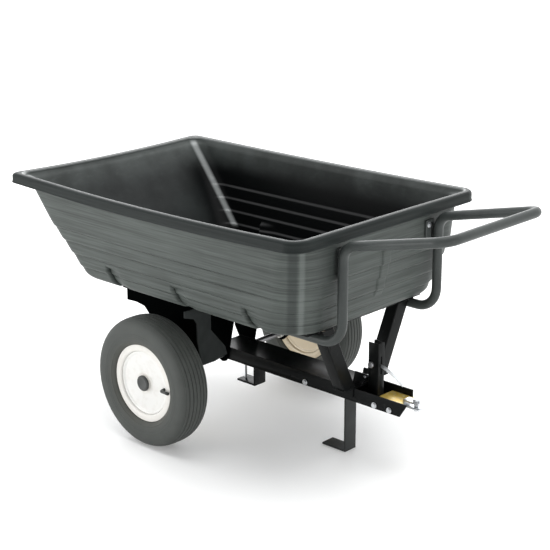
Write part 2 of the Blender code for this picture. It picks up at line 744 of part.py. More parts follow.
def make_axle_brackets(parent):
    """Two side plates under the tube runs, each with a top flange, a front plate and a nylon bush."""
    chord = BRACKET_TOP - BRACKET_CHORD
    eye = circle((0.0, AXLE_HEIGHT), BRACKET_EYE_RADIUS, 8, math.radians(-30), math.radians(-150))
    outline = [(BRACKET_FRONT, BRACKET_TOP - BRACKET_SHEET / 2), (BRACKET_FRONT, BRACKET_POST_FOOT), *eye,
               (BRACKET_REAR + 0.082, chord - 0.004), (BRACKET_REAR + 0.045, chord + 0.002), (BRACKET_REAR, chord),
               (BRACKET_REAR, BRACKET_TOP - BRACKET_SHEET / 2)]
    hole = circle((0.0, AXLE_HEIGHT), bored(bush_radius(), SHAFT_SIDES), SHAFT_SIDES)
    for name, side in (("right", -1), ("left", 1)):
        middle = side * TUBE_HALF_SPAN
        plate = to_mesh(flat_plate(f"axle_bracket_{name}", outline, [hole], BRACKET_SHEET, "XZ"))
        finish(plate, black_paint(), parent, (0.0, middle, 0.0))
        half = BRACKET_FLANGE / 2
        front = BRACKET_FRONT - BRACKET_SHEET / 2
        flange = block(f"bracket_flange_{name}", (BRACKET_REAR - 0.001, middle - half, BRACKET_TOP - BRACKET_SHEET),
                       (front, middle + half, BRACKET_TOP))
        weld(plate, flange)
        face = to_mesh(flat_plate(f"bracket_face_{name}", [(side * y, z) for y, z in bracket_face()],
                                  [], BRACKET_SHEET, "YZ"))
        face.location = (front + 0.001, 0.0, 0.0)
        weld(plate, face)
        bore = bored(AXLE_RADIUS, SHAFT_SIDES, RUNNING)
        half = BUSH_LENGTH / 2
        bush = turned(f"axle_bush_{name}", mirrored([(bush_radius(), half), (bore, half)]), SHAFT_SIDES)
        finish(bush, nylon(), parent, (0.0, middle, AXLE_HEIGHT))


def make_centre_plates(parent):
    """Two tapered plates that hang from the middle cross bar and turn on the axle."""
    top = CROSS_BAR_FOOT - SEAT
    bar = CROSS_BAR_PLACES[1]
    eye = circle((0.0, AXLE_HEIGHT), BRACKET_EYE_RADIUS, 8, math.radians(-15), math.radians(-150))
    waist = top - (top - AXLE_HEIGHT) * 0.4144
    rear = bar - CENTRE_PLATE_TOP_HALF
    heel = rear - CENTRE_PLATE_HEEL
    heel_top = top - CENTRE_PLATE_HEEL_DROP
    outline = [(bar + CENTRE_PLATE_TOP_HALF, top), (bar + CENTRE_PLATE_TOP_HALF * 0.45, waist), *eye,
               (heel, AXLE_HEIGHT + CENTRE_PLATE_HEEL_RISE), (heel, heel_top - 0.012), (rear, heel_top), (rear, top)]
    hole = circle((0.0, AXLE_HEIGHT), bored(AXLE_RADIUS, SHAFT_SIDES, RUNNING), SHAFT_SIDES)
    for name, side in (("right", -1), ("left", 1)):
        plate = flat_plate(f"centre_plate_{name}", outline, [hole], CENTRE_PLATE_SHEET, "XZ")
        place = side * (TONGUE_HALF_WIDTH + 2 * RUNNING + CENTRE_PLATE_SHEET / 2)
        finish(plate, black_paint(), parent, (0.0, place, 0.0))


def make_struts(parent):
    """Two channels, open to the rear, that slope in from the front cross bar to the saddle."""
    foot = SADDLE_TOP + SEAT
    half = STRUT_WIDTH / 2
    rear = -STRUT_DEPTH / 2
    front = STRUT_DEPTH / 2
    inner = half - STRUT_SHEET
    section = [(rear, -half), (front, -half), (front, half), (rear, half), (rear, inner),
               (front - STRUT_SHEET, inner), (front - STRUT_SHEET, -inner), (rear, -inner)]
    lean = (STRUT_TOP_Y - STRUT_FOOT_Y) / (STRUT_TOP - foot)
    for name, side in (("right", -1), ("left", 1)):
        strut = to_mesh(flat_plate(f"strut_{name}", section, [], STRUT_TOP - foot, "XY"))
        slant = Matrix.Identity(4)
        slant[1][2] = side * lean
        strut.data.transform(slant)
        finish(strut, black_paint(), parent,
               (STRUT_X, side * (STRUT_TOP_Y + STRUT_FOOT_Y) / 2, (STRUT_TOP + foot) / 2))


def make_saddle(parent):
    """The plate that joins the struts and straddles the tongue, with two lugs and the striker pin."""
    ear = TONGUE_HALF_WIDTH + 2 * RUNNING
    low = SADDLE_FOOT - SADDLE_EAR_DROP
    rear = STRUT_X - SADDLE_LENGTH / 2
    front = STRUT_X + SADDLE_LENGTH / 2
    saddle = block("latch_saddle", (rear, -SADDLE_HALF_WIDTH, SADDLE_FOOT), (front, SADDLE_HALF_WIDTH, SADDLE_TOP))
    finish(saddle, black_paint(), parent)
    rooted = SADDLE_TOP - SADDLE_SHEET / 2
    for name, side in (("right", -1), ("left", 1)):
        near = side * ear
        far = side * (ear + SADDLE_SHEET)
        weld(saddle, block(f"saddle_ear_{name}", (rear + 0.002, min(near, far), low),
                           (front - 0.002, max(near, far), rooted)))
    tip = STRIKER_X + STRIKER_RADIUS + 0.001
    top = STRIKER_HEIGHT + STRIKER_RADIUS + 0.004
    lug_outline = [(STRUT_X - 0.012, rooted), (STRIKER_X - 0.016, rooted), (tip, STRIKER_HEIGHT - STRIKER_RADIUS),
                   (tip, top), (STRUT_X - 0.004, top)]
    hole = circle((STRIKER_X, STRIKER_HEIGHT), bored(STRIKER_RADIUS, 12), 12)
    for name, side in (("right", -1), ("left", 1)):
        lug = to_mesh(flat_plate(f"latch_lug_{name}", lug_outline, [hole], LUG_SHEET, "XZ"))
        lug.location = (0.0, side * (LUG_GAP_HALF + LUG_SHEET / 2), 0.0)
        weld(saddle, lug)
    length = 2 * (LUG_GAP_HALF + LUG_SHEET) + 0.004
    pin = rod("striker_pin", (0.0, 0.0, 0.0), (0, 1, 0), STRIKER_RADIUS, length, 12)
    finish(pin, bright_zinc(), parent, (STRIKER_X, 0.0, STRIKER_HEIGHT))


# Axle and wheels

def make_axle(parent):
    """The fixed axle, with a collar between each wheel and its bracket."""
    length = 2 * (WHEEL_Y + HUB_LENGTH / 2 - 0.001)
    axle = rod("axle", (0.0, 0.0, 0.0), (0, 1, 0), AXLE_RADIUS, length)
    finish(axle, plain_steel(), parent, (0.0, 0.0, AXLE_HEIGHT), smooth=True)
    bore = bored(AXLE_RADIUS, SHAFT_SIDES)
    outer = AXLE_RADIUS + COLLAR_WALL
    start = TUBE_HALF_SPAN + BUSH_LENGTH / 2 + RUNNING
    end = WHEEL_Y - HUB_LENGTH / 2 - RUNNING
    half = (end - start) / 2
    for name, side in (("right", -1), ("left", 1)):
        collar = turned(f"axle_spacer_{name}", mirrored([(outer, half), (bore, half)]), SHAFT_SIDES)
        finish(collar, black_paint(), parent, (0.0, side * (start + end) / 2, AXLE_HEIGHT))


def tyre_profile():
    """The tyre's section: tread, shoulder, sidewall, bead, and the hollow inside."""
    half = TYRE_WIDTH / 2
    bead = RIM_WIDTH / 2 - RIM_SHEET - 2 * SEAT
    seat = RIM_SEAT_RADIUS + SEAT
    outside = [(TYRE_RADIUS, 0.0), (TYRE_RADIUS - 0.0025, half * 0.50), (TYRE_RADIUS - 0.0080, half * 0.78),
               (TYRE_RADIUS - 0.0200, half * 0.95), (TYRE_RADIUS - 0.0420, half),
               (RIM_FLANGE_RADIUS + 0.0100, half * 0.86), (RIM_FLANGE_RADIUS + 0.0015, bead),
               (seat + 0.0050, bead), (seat, bead - 0.0050)]
    inside = [(seat, bead - 0.0120), (TYRE_RADIUS - 0.0420, half * 0.84), (TYRE_RADIUS - 0.0160, half * 0.62),
              (TYRE_RADIUS - 0.0110, 0.0)]
    return mirrored(outside + inside)


def rim_profile():
    """The rim's section: a well, two bead seats and two flanges, one sheet thick."""
    half = RIM_WIDTH / 2
    well = RIM_SEAT_RADIUS - RIM_WELL
    outside = [(well, RIM_WELL), (RIM_SEAT_RADIUS, RIM_WELL * 1.5), (RIM_SEAT_RADIUS, half - RIM_SHEET - 0.004),
               (RIM_SEAT_RADIUS + 0.004, half - RIM_SHEET), (RIM_FLANGE_RADIUS, half - RIM_SHEET)]
    inside = [(RIM_FLANGE_RADIUS, half), (RIM_SEAT_RADIUS, half), (RIM_SEAT_RADIUS - RIM_SHEET, half - RIM_SHEET),
              (RIM_SEAT_RADIUS - RIM_SHEET, RIM_WELL * 1.5 + RIM_SHEET),
              (well - RIM_SHEET, RIM_WELL + RIM_SHEET / 2)]
    return mirrored(outside + inside)


def disc_profile(side):
    """A disc's section: welded in the rim, dished, and raised again round the hub."""
    edge = RIM_SEAT_RADIUS - RIM_SHEET - SEAT
    eye = bored(HUB_RADIUS, WHEEL_SIDES)
    face = disc_face()
    crown = [(edge, face), (edge - 0.016, face - DISC_DISH), (eye + 0.016, face - DISC_DISH), (eye, face - 0.001)]
    back = [(radius, height - RIM_SHEET) for radius, height in reversed(crown)]
    return [(radius, side * height) for radius, height in [*crown, *back]]


def disc_face():
    """How far the outer face of a disc's edge is from the wheel's middle."""
    return RIM_WIDTH / 2 - DISC_INSET


def make_wheel(name, side, parent):
    """A wheel on its joint point: tyre, rim, two discs, hub, bush, hub cap and valve."""
    finish(turned(f"tyre_{name}", tyre_profile(), WHEEL_SIDES), tyre_rubber(), parent)
    finish(turned(f"rim_{name}", rim_profile(), WHEEL_SIDES), white_paint(), parent)
    outer_disc = turned(f"disc_outer_{name}", disc_profile(side), WHEEL_SIDES)
    finish(outer_disc, white_paint(), parent)
    finish(turned(f"disc_inner_{name}", disc_profile(-side), WHEEL_SIDES), white_paint(), parent)
    bore = HUB_RADIUS - HUB_WALL
    half = HUB_LENGTH / 2
    hub = turned(f"hub_{name}", mirrored([(HUB_RADIUS, half), (bore, half)]), SHAFT_SIDES)
    finish(hub, white_paint(), parent)
    shaft = bored(AXLE_RADIUS, SHAFT_SIDES, RUNNING)
    flats = math.cos(math.pi / SHAFT_SIDES)
    bush = mirrored([(bore * flats - SEAT, half - 0.001), (shaft, half - 0.001)])
    finish(turned(f"wheel_bush_{name}", bush, SHAFT_SIDES), plain_steel(), parent)
    seat = half + SEAT
    crown = seat + HUB_CAP_DEPTH
    skin = HUB_CAP_SKIN
    cap = [(0.0, crown), (HUB_RADIUS - 0.0060, crown), (HUB_RADIUS - 0.0010, crown - HUB_CAP_DEPTH * 0.4),
           (HUB_RADIUS - 0.0010, seat), (HUB_RADIUS - 0.0010 - skin, seat),
           (HUB_RADIUS - 0.0010 - skin, crown - HUB_CAP_DEPTH * 0.5), (HUB_RADIUS - 0.0070, crown - skin),
           (0.0, crown - skin)]
    hub_cap = turned(f"hub_cap_{name}", [(radius, side * height) for radius, height in cap], SHAFT_SIDES)
    finish(hub_cap, black_plastic(), parent)
    dished = disc_face() - DISC_DISH
    over_rim = RIM_WIDTH / 2 + VALVE_STAND_OFF
    corners = [(VALVE_FOOT_RADIUS, side * (dished - 0.008), 0.0), (VALVE_FOOT_RADIUS, side * over_rim, 0.0),
               (VALVE_TIP_RADIUS, side * over_rim, 0.0)]
    stem = tube(f"valve_{name}", rounded_path(corners, [VALVE_BEND], 5), VALVE_RADIUS, 2)
    finish(stem, black_plastic(), parent)
    drill(outer_disc, [((VALVE_FOOT_RADIUS, side * dished, 0.0), (0, 1, 0), VALVE_RADIUS, 0.012)], 12)


# The drawbar and what is fixed to it

def channel_section(half_width, sheet, foot, top):
    """A channel's section, open upwards."""
    inner = half_width - sheet
    return [(-half_width, foot), (half_width, foot), (half_width, top), (inner, top), (inner, foot + sheet),
            (-inner, foot + sheet), (-inner, top), (-half_width, top)]


def make_tongue(parent):
    """The drawbar: a folded channel with a lid up to the saddle's front, that the axle passes through."""
    half = TONGUE_HALF_WIDTH
    inner = half - TONGUE_SHEET
    section = channel_section(half, TONGUE_SHEET, TONGUE_BOTTOM, TONGUE_TOP)
    tongue = to_mesh(flat_plate("tongue", section, [], TONGUE_FRONT_RIGHT - TONGUE_REAR, "YZ"))
    finish(tongue, black_paint(), parent, ((TONGUE_FRONT_RIGHT + TONGUE_REAR) / 2, 0.0, 0.0))
    cut(tongue, block("tongue_mouth", (TONGUE_FRONT_LEFT, -inner + 0.0001, TONGUE_BOTTOM - 0.01),
                      (TONGUE_FRONT_RIGHT + 0.01, half + 0.01, TONGUE_TOP + 0.01)))
    corner = [(TONGUE_FRONT_RIGHT - TONGUE_NOSE_CUT, TONGUE_BOTTOM - 0.005),
              (TONGUE_FRONT_RIGHT + 0.02, TONGUE_BOTTOM - 0.005),
              (TONGUE_FRONT_RIGHT + 0.02, TONGUE_TOP + 0.03)]
    nose = to_mesh(flat_plate("tongue_nose", corner, [], 4 * TONGUE_SHEET, "XZ"))
    nose.location = (0.0, -half, 0.0)
    cut(tongue, nose)
    lid_top = TONGUE_TOP - TONGUE_LID_DROP
    edge = half - TONGUE_SHEET / 2
    weld(tongue, block("tongue_lid", (TONGUE_REAR + TONGUE_LID_DROP, -edge, lid_top - TONGUE_SHEET),
                       (STRUT_X + SADDLE_LENGTH / 2 - RUNNING, edge, lid_top)))
    across = 2 * half + 0.04
    holes = [((0.0, 0.0, AXLE_HEIGHT), (0, 1, 0), AXLE_RADIUS, across)]
    holes += [((x, 0.0, z), (0, 1, 0), BOLT_RADIUS, across) for x, z in TONGUE_BOLT_PLACES]
    for x in (step_bolt_x(), stand_bolt_x(), POST_BOLT_X):
        holes.append(((x, 0.0, TONGUE_BOTTOM), (0, 0, 1), BOLT_RADIUS, 0.02))
    drill(tongue, holes, 12)
    for number, (x, z) in enumerate(TONGUE_BOLT_PLACES, start=1):
        bolt(f"tongue_bolt_{number}", parent, (x, -half, z), (0, -1, 0), 2 * half)


def bent_strap(name, points, width, sheet, parent):
    """A flat strap bent in the XZ plane: its outer line, thickened to its left with sharp bends."""
    inner = []
    for i, place in enumerate(points):
        here = Vector(place)
        near = [Vector(point) for point in points[max(i - 1, 0):i + 2]]
        runs = [(b - a).normalized() for a, b in zip(near, near[1:])]
        normals = [Vector((-run.y, run.x)) for run in runs]
        mean = sum(normals, Vector((0.0, 0.0))).normalized()
        offset = here + mean * sheet / mean.dot(normals[0])
        inner.append((offset.x, offset.y))
    strap = to_mesh(flat_plate(name, [*points, *reversed(inner)], [], width, "XZ"))
    return finish(strap, black_paint(), parent)


def stand_bolt_x():
    """The stand's bolt, in the middle of its top flange."""
    return STAND_X - STAND_FLANGE / 2


def make_stand(parent):
    """The stand: a strap bolted under the tongue, straight down, with a foot turned rearwards."""
    top = TONGUE_BOTTOM - SEAT
    points = [(STAND_X - STAND_FOOT_LENGTH, 0.0), (STAND_X, 0.0), (STAND_X, top), (STAND_X - STAND_FLANGE, top)]
    stand = bent_strap("stand_leg", points, STAND_WIDTH, STAND_SHEET, parent)
    drill(stand, [((stand_bolt_x(), 0.0, top), (0, 0, 1), BOLT_RADIUS, 0.03)], 12)
    bolt("stand_bolt", parent, (stand_bolt_x(), 0.0, WEB_TOP), (0, 0, 1), TONGUE_SHEET + SEAT + STAND_SHEET)


def step_bolt_x():
    """The step's long bolt, near the rear of its base."""
    return STEP_X - STEP_LENGTH + STEP_BOLT_INSET


def make_step(parent):
    """The low step ahead of the axle: a bent strap whose base also hangs on one long bolt."""
    top = TONGUE_BOTTOM - SEAT
    foot = STEP_HEIGHT - STAND_SHEET
    points = [(STEP_X - STEP_LENGTH, foot), (STEP_X, foot), (STEP_X, top), (STEP_X - STEP_FLANGE, top)]
    step = bent_strap("step_bracket", points, STAND_WIDTH, STAND_SHEET, parent)
    drill(step, [((step_bolt_x(), 0.0, foot), (0, 0, 1), BOLT_RADIUS, 0.04)], 12)
    bolt("step_bolt", parent, (step_bolt_x(), 0.0, WEB_TOP), (0, 0, 1), WEB_TOP - foot)


def make_latch_post(parent):
    """The latch post: a slotted channel with its back to the front, welded on a base plate."""
    half = POST_HALF_WIDTH
    inner = half - POST_SHEET
    web = POST_FRONT - POST_SHEET
    base_top = POST_FOOT + POST_SHEET
    base = block("latch_post", (POST_REAR - 0.004, -POST_BASE_HALF, POST_FOOT),
                 (POST_FRONT + 0.002, POST_BASE_HALF, base_top))
    finish(base, black_paint(), parent)
    section = [(POST_REAR, -half), (POST_FRONT, -half), (POST_FRONT, half), (POST_REAR, half),
               (POST_REAR, inner), (web, inner), (web, -inner), (POST_REAR, -inner)]
    start = base_top - POST_SHEET / 2
    upright = to_mesh(flat_plate("post_channel", section, [], POST_TOP - start, "XY"))
    upright.location = (0.0, 0.0, (POST_TOP + start) / 2)
    weld(base, upright)
    slot = LATCH_SHEET / 2 + RUNNING
    cut(base, block("post_slot", (web - POST_SHEET, -slot, LATCH_PIVOT_HEIGHT - SLOT_DOWN),
                    (POST_FRONT + POST_SHEET, slot, LATCH_PIVOT_HEIGHT + SLOT_UP)))
    drill(base, [((LATCH_PIVOT_X, 0.0, LATCH_PIVOT_HEIGHT), (0, 1, 0), LATCH_PIN_RADIUS, 0.06),
                 ((POST_BOLT_X, 0.0, POST_FOOT), (0, 0, 1), BOLT_RADIUS, 0.02)])
    bolt("post_bolt", parent, (POST_BOLT_X, 0.0, base_top), (0, 0, 1), POST_SHEET + SEAT + TONGUE_SHEET)
    head = 0.007
    profile = [(0.0, half + 0.004), (LATCH_PIN_RADIUS, half + 0.004), (LATCH_PIN_RADIUS, -half - SEAT),
               (LATCH_HEAD_RADIUS, -half - SEAT), (LATCH_HEAD_RADIUS, -half - head * 0.6),
               (LATCH_HEAD_RADIUS * 0.7, -half - head), (0.0, -half - head)]
    pin = turned("latch_pivot_pin", profile, SHAFT_SIDES)
    finish(pin, plain_steel(), parent, (LATCH_PIVOT_X, 0.0, LATCH_PIVOT_HEIGHT))


def make_latch_lever(parent):
    """The latch lever: a claw that hangs behind the post and a bright hand arm that curves down."""
    eye = LATCH_EYE_RADIUS
    tip = STRIKER_X + STRIKER_RADIUS + RUNNING - LATCH_PIVOT_X
    jaw = STRIKER_HEIGHT + STRIKER_RADIUS + RUNNING - LATCH_PIVOT_HEIGHT
    root = LATCH_PIN_RADIUS + 0.006
    upper = []
    lower = []
    for i in range(9):
        share = i / 8
        x = root + (LATCH_REACH - root) * share
        z = -LATCH_DROP * share ** 1.8
        half = 0.0035 + 0.0015 * math.sin(math.pi * share)
        upper.append((x, z + half))
        lower.append((x, z - half))
    claw = [(0.004, -eye), (0.004, jaw - 0.004), (-0.004, jaw - 0.004), (-0.005, jaw), (tip, jaw),
            (tip, jaw + 0.005), (-0.006, jaw + 0.012)]
    brow = circle((0.0, 0.0), eye, 5, math.radians(200), math.radians(-130))
    outline = [*upper, *reversed(lower), *claw, *brow]
    hole = circle((0.0, 0.0), bored(LATCH_PIN_RADIUS, SHAFT_SIDES, RUNNING), SHAFT_SIDES)
    finish(flat_plate("latch_lever", outline, [hole], LATCH_SHEET, "XZ"), bright_zinc(), parent)


def make_latch_spring(parent):
    """The latch's return spring: an open coil round the pivot pin, with a straight tail each end."""
    radius = LATCH_PIN_RADIUS + SPRING_WIRE + 2 * RUNNING
    start = LATCH_SHEET / 2 + SPRING_WIRE + RUNNING
    end = POST_HALF_WIDTH - POST_SHEET - SPRING_WIRE - RUNNING
    pitch = (end - start) / SPRING_TURNS
    print(f"latch spring: least gap between turns {(pitch - 2 * SPRING_WIRE) * 1000:.2f} mm")
    path = [(radius, start, -SPRING_TAIL)]
    for i in range(SPRING_TURNS * 10 + 1):
        angle = 2 * math.pi * i / 10
        path.append((radius * math.cos(angle), start + pitch * i / 10, radius * math.sin(angle)))
    path.append((radius, end, SPRING_TAIL))
    spring = tube("latch_spring", path, SPRING_WIRE, 1)
    finish(spring, plain_steel(), parent, (LATCH_PIVOT_X, 0.0, LATCH_PIVOT_HEIGHT))


def make_hitch(parent):
    """The hitch head: a yellow folded plate between the tongue's sides and a bright clevis on it."""
    half = TONGUE_HALF_WIDTH - TONGUE_SHEET - SEAT
    inner = half - HITCH_PLATE_SHEET
    under = HITCH_PLATE_TOP - HITCH_PLATE_SHEET
    section = [(-half, HITCH_PLATE_TOP), (-half, POST_FOOT), (-inner, POST_FOOT), (-inner, under),
               (inner, under), (inner, POST_FOOT), (half, POST_FOOT), (half, HITCH_PLATE_TOP)]
    plate = to_mesh(flat_plate("hitch_plate", section, [], HITCH_PLATE_FRONT - HITCH_PLATE_REAR, "YZ"))
    finish(plate, yellow_zinc(), parent, ((HITCH_PLATE_FRONT + HITCH_PLATE_REAR) / 2, 0.0, 0.0))
    drill(plate, [((x, 0.0, z), (0, 1, 0), BOLT_RADIUS, 0.2) for x, z in TONGUE_BOLT_PLACES
                  if HITCH_PLATE_REAR < x < HITCH_PLATE_FRONT], 12)
    rear = HITCH_PLATE_FRONT + SEAT
    web = rear + CLEVIS_SHEET
    lower = CLEVIS_BOTTOM + CLEVIS_SHEET
    upper = CLEVIS_TOP - CLEVIS_SHEET
    section = [(rear, CLEVIS_BOTTOM), (CLEVIS_FRONT, CLEVIS_BOTTOM), (CLEVIS_FRONT, lower), (web, lower),
               (web, upper), (CLEVIS_FRONT, upper), (CLEVIS_FRONT, CLEVIS_TOP), (rear, CLEVIS_TOP)]
    clevis = to_mesh(flat_plate("hitch_clevis", section, [], 2 * CLEVIS_HALF_WIDTH, "XZ"))
    finish(clevis, bright_zinc(), parent)
    drill(clevis, [((HITCH_PIN_X, 0.0, CLEVIS_BOTTOM), (0, 0, 1), HITCH_PIN_RADIUS + RUNNING, 0.12)])


def make_hitch_pin(parent):
    """The hitch pin, dropped through the clevis and held up by its head."""
    seat = CLEVIS_TOP + SEAT
    tail = CLEVIS_BOTTOM - HITCH_PIN_TAIL
    head = seat + HITCH_PIN_HEAD
    profile = [(0.0, head), (HITCH_PIN_HEAD_RADIUS * 0.8, head),
               (HITCH_PIN_HEAD_RADIUS, head - HITCH_PIN_HEAD * 0.3), (HITCH_PIN_HEAD_RADIUS, seat),
               (HITCH_PIN_RADIUS, seat), (HITCH_PIN_RADIUS, tail + 0.003), (HITCH_PIN_RADIUS * 0.7, tail), (0.0, tail)]
    finish(turned("hitch_pin", profile, SHAFT_SIDES, (0, 0, 1)), bright_zinc(), parent)


def make_chassis(frame):
    """What stays still when the tub tips and the wheels turn."""
    make_axle(frame)
    make_tongue(frame)
    make_stand(frame)
    make_step(frame)
    make_latch_post(frame)
    make_latch_spring(frame)
    make_hitch(frame)


def make_tipping_body(frame):
    """What tips about the axle: the tub and all that is bolted or welded to it."""
    make_tub(frame)
    make_handle_frame(frame)
    make_cross_bars(frame)
    make_handle_clamps(frame)
    make_axle_brackets(frame)
    make_centre_plates(frame)
    make_struts(frame)
    make_saddle(frame)


def build():
    frame = start_scene()
    make_chassis(frame)
    make_tipping_body(frame)
    for name, side in (("right", -1), ("left", 1)):
        make_wheel(name, side, joint_point(f"wheel_centre_{name}", frame, (0.0, side * WHEEL_Y, AXLE_HEIGHT)))
    make_latch_lever(joint_point("latch_pivot", frame, (LATCH_PIVOT_X, 0.0, LATCH_PIVOT_HEIGHT)))
    make_hitch_pin(joint_point("hitch_pin_line", frame, (HITCH_PIN_X, 0.0, 0.0)))


build()
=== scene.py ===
"""A garden trailer: a moulded tub on a bent tube frame that tips back about the axle of two wheels.

Metres, +Z up, +X towards the hitch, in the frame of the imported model.
"""

import math

import bmesh
import bpy
import numpy as np
from mathutils import Matrix, Vector


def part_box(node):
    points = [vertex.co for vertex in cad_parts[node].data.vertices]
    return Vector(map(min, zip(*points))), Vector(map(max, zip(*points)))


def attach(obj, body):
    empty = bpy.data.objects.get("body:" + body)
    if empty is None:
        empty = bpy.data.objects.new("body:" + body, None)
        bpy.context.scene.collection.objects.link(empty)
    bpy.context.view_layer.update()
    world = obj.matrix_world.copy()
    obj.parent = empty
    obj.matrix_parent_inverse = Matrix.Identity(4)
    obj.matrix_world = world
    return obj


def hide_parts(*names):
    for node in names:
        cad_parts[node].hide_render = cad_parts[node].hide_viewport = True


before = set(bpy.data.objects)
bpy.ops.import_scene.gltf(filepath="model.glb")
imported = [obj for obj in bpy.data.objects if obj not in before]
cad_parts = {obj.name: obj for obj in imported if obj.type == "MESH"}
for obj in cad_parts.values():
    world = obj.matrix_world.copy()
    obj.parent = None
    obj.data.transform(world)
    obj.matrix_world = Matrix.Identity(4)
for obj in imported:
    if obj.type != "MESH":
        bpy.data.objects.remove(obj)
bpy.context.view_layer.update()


# The viewpoint and the studio.
# A long lens at head height looks down on the trailer's front right corner over a plain pale floor.
# One wide soft light hangs over it, two low softboxes stand beside the camera and a large one stands
# behind, whose reflection draws the rim. The room is brighter behind the trailer than before it.

IMAGE_WIDTH = 550
FOCAL_PIXELS = 1387.55
AZIMUTH, ELEVATION, ROLL = 42.94, 17.37, -0.118
AWAY = (-0.68, 0.72)

camera = bpy.data.objects.new("camera", bpy.data.cameras.new("camera"))
camera.data.sensor_width = 36.0
camera.data.lens = FOCAL_PIXELS / IMAGE_WIDTH * camera.data.sensor_width
camera.data.clip_end = 200.0
camera.matrix_world = (Matrix.Translation((2.75875, -2.987, 1.767))
                       @ Matrix.Rotation(math.radians(AZIMUTH), 4, "Z")
                       @ Matrix.Rotation(math.radians(90 - ELEVATION), 4, "X")
                       @ Matrix.Rotation(math.radians(ROLL), 4, "Z"))
bpy.context.scene.collection.objects.link(camera)
bpy.context.scene.camera = camera
bpy.context.scene.view_settings.view_transform = "Standard"


class Wire:
    """A node's output that can stand in an expression, which adds the Math nodes that it needs."""

    def __init__(self, tree, socket):
        self.tree = tree
        self.socket = socket

    def reckon(self, operation, *terms):
        node = self.tree.nodes.new("ShaderNodeMath")
        node.operation = operation
        for slot, term in zip(node.inputs, terms):
            if isinstance(term, Wire):
                self.tree.links.new(term.socket, slot)
            else:
                slot.default_value = term
        return Wire(self.tree, node.outputs[0])

    def __add__(self, other):
        return self.reckon("ADD", self, other)

    def __sub__(self, other):
        return self.reckon("SUBTRACT", self, other)

    def __rsub__(self, other):
        return self.reckon("SUBTRACT", other, self)

    def __mul__(self, other):
        return self.reckon("MULTIPLY", self, other)

    def __truediv__(self, other):
        return self.reckon("DIVIDE", self, other)

    def __pow__(self, other):
        return self.reckon("POWER", self, other)

    __radd__ = __add__
    __rmul__ = __mul__

    def root(self):
        return self.reckon("SQRT", self)

    def wave(self):
        return self.reckon("SINE", self)

    def rise(self, low, high):
        """0 below low, 1 above high (or the other way round), and a soft rise between."""
        node = self.tree.nodes.new("ShaderNodeMapRange")
        node.interpolation_type = "SMOOTHSTEP"
        self.tree.links.new(self.socket, node.inputs["Value"])
        falling = low > high
        node.inputs["From Min"].default_value = min(low, high)
        node.inputs["From Max"].default_value = max(low, high)
        node.inputs["To Min"].default_value = 1.0 if falling else 0.0
        node.inputs["To Max"].default_value = 0.0 if falling else 1.0
        return Wire(self.tree, node.outputs["Result"])


class Finish:
    """A finish being mixed: its node tree, its shader, and one method that adds any other node."""

    def __init__(self, name, **constants):
        self.material = bpy.data.materials.new(name)
        self.material.use_nodes = True
        self.tree = self.material.node_tree
        self.shader = self.tree.nodes["Principled BSDF"]
        self.set(**constants)
        self.place = self.add("TexCoord", output="Object")

    def add(self, kind, settings=None, values=None, output=0):
        node = self.tree.nodes.new("ShaderNode" + kind)
        for key, value in (settings or {}).items():
            setattr(node, key, value)
        for key, value in (values or {}).items():
            self.feed(node.inputs[key], value)
        return Wire(self.tree, node.outputs[output])

    def feed(self, slot, value):
        if isinstance(value, Wire):
            self.tree.links.new(value.socket, slot)
        elif slot.type == "RGBA":
            slot.default_value = (*value, 1.0)
        else:
            slot.default_value = value

    def set(self, **values):
        for key, value in values.items():
            self.feed(self.shader.inputs[key.replace("_", " ").title().replace("Ior", "IOR")], value)

    def axes(self):
        """The three coordinates of a place on the piece."""
        return [self.add("SeparateXYZ", None, {"Vector": self.place}, axis) for axis in "XYZ"]

    def noise(self, scale, stretch=(1.0, 1.0, 1.0), detail=3.0, offset=(0.0, 0.0, 0.0)):
        spot = self.add("Mapping", None, {"Vector": self.place, "Scale": stretch, "Location": offset})
        return self.add("TexNoise", None, {"Vector": spot, "Scale": scale, "Detail": detail})

    def mix(self, share, first, second):
        """The first colour where the share is 0 and the second where it is 1."""
        return self.add("Mix", {"data_type": "RGBA"}, {0: share, 6: first, 7: second}, 2)

    def relief(self, height, depth):
        """Raise the surface by a height from 0 to 1 times a depth in metres."""
        bump = self.add("Bump", None, {"Height": height, "Distance": depth, "Strength": 1.0})
        self.set(normal=bump)


floor_paint = Finish("studio_floor", emission_color=(1.0, 1.0, 1.0), emission_strength=0.16,
                     roughness=0.9)
floor_paint.set(base_color=floor_paint.mix(floor_paint.noise(3.0), (0.85, 0.85, 0.845),
                                           (0.87, 0.87, 0.865)))
bpy.ops.mesh.primitive_grid_add(x_subdivisions=2, y_subdivisions=2, size=90.0)
floor = bpy.context.object
floor.name = "studio_floor"
floor.data.materials.append(floor_paint.material)

world = bpy.data.worlds.new("studio")
world.use_nodes = True
glow = world.node_tree.nodes["Background"]
glow.inputs["Color"].default_value = (0.98, 0.99, 1.0, 1.0)
sky_tree = world.node_tree
sky = sky_tree.nodes.new("ShaderNodeTexCoord")
split = sky_tree.nodes.new("ShaderNodeSeparateXYZ")
sky_tree.links.new(sky.outputs["Generated"], split.inputs[0])
rearward = Wire(sky_tree, split.outputs["Y"]) * AWAY[1] + Wire(sky_tree, split.outputs["X"]) * AWAY[0]
sky_tree.links.new((rearward.rise(-0.5, 0.7) * 1.5 + 0.42).socket, glow.inputs["Strength"])
bpy.context.scene.world = world


def lamp(name, kind, place, aim, energy, **settings):
    """A light at a place, turned to shine at an aim."""
    light = bpy.data.lights.new(name, kind)
    light.energy = energy
    for key, value in settings.items():
        setattr(light, key, value)
    thing = bpy.data.objects.new(name, light)
    thing.location = place
    thing.rotation_euler = (Vector(aim) - Vector(place)).to_track_quat("-Z", "Y").to_euler()
    bpy.context.scene.collection.objects.link(thing)


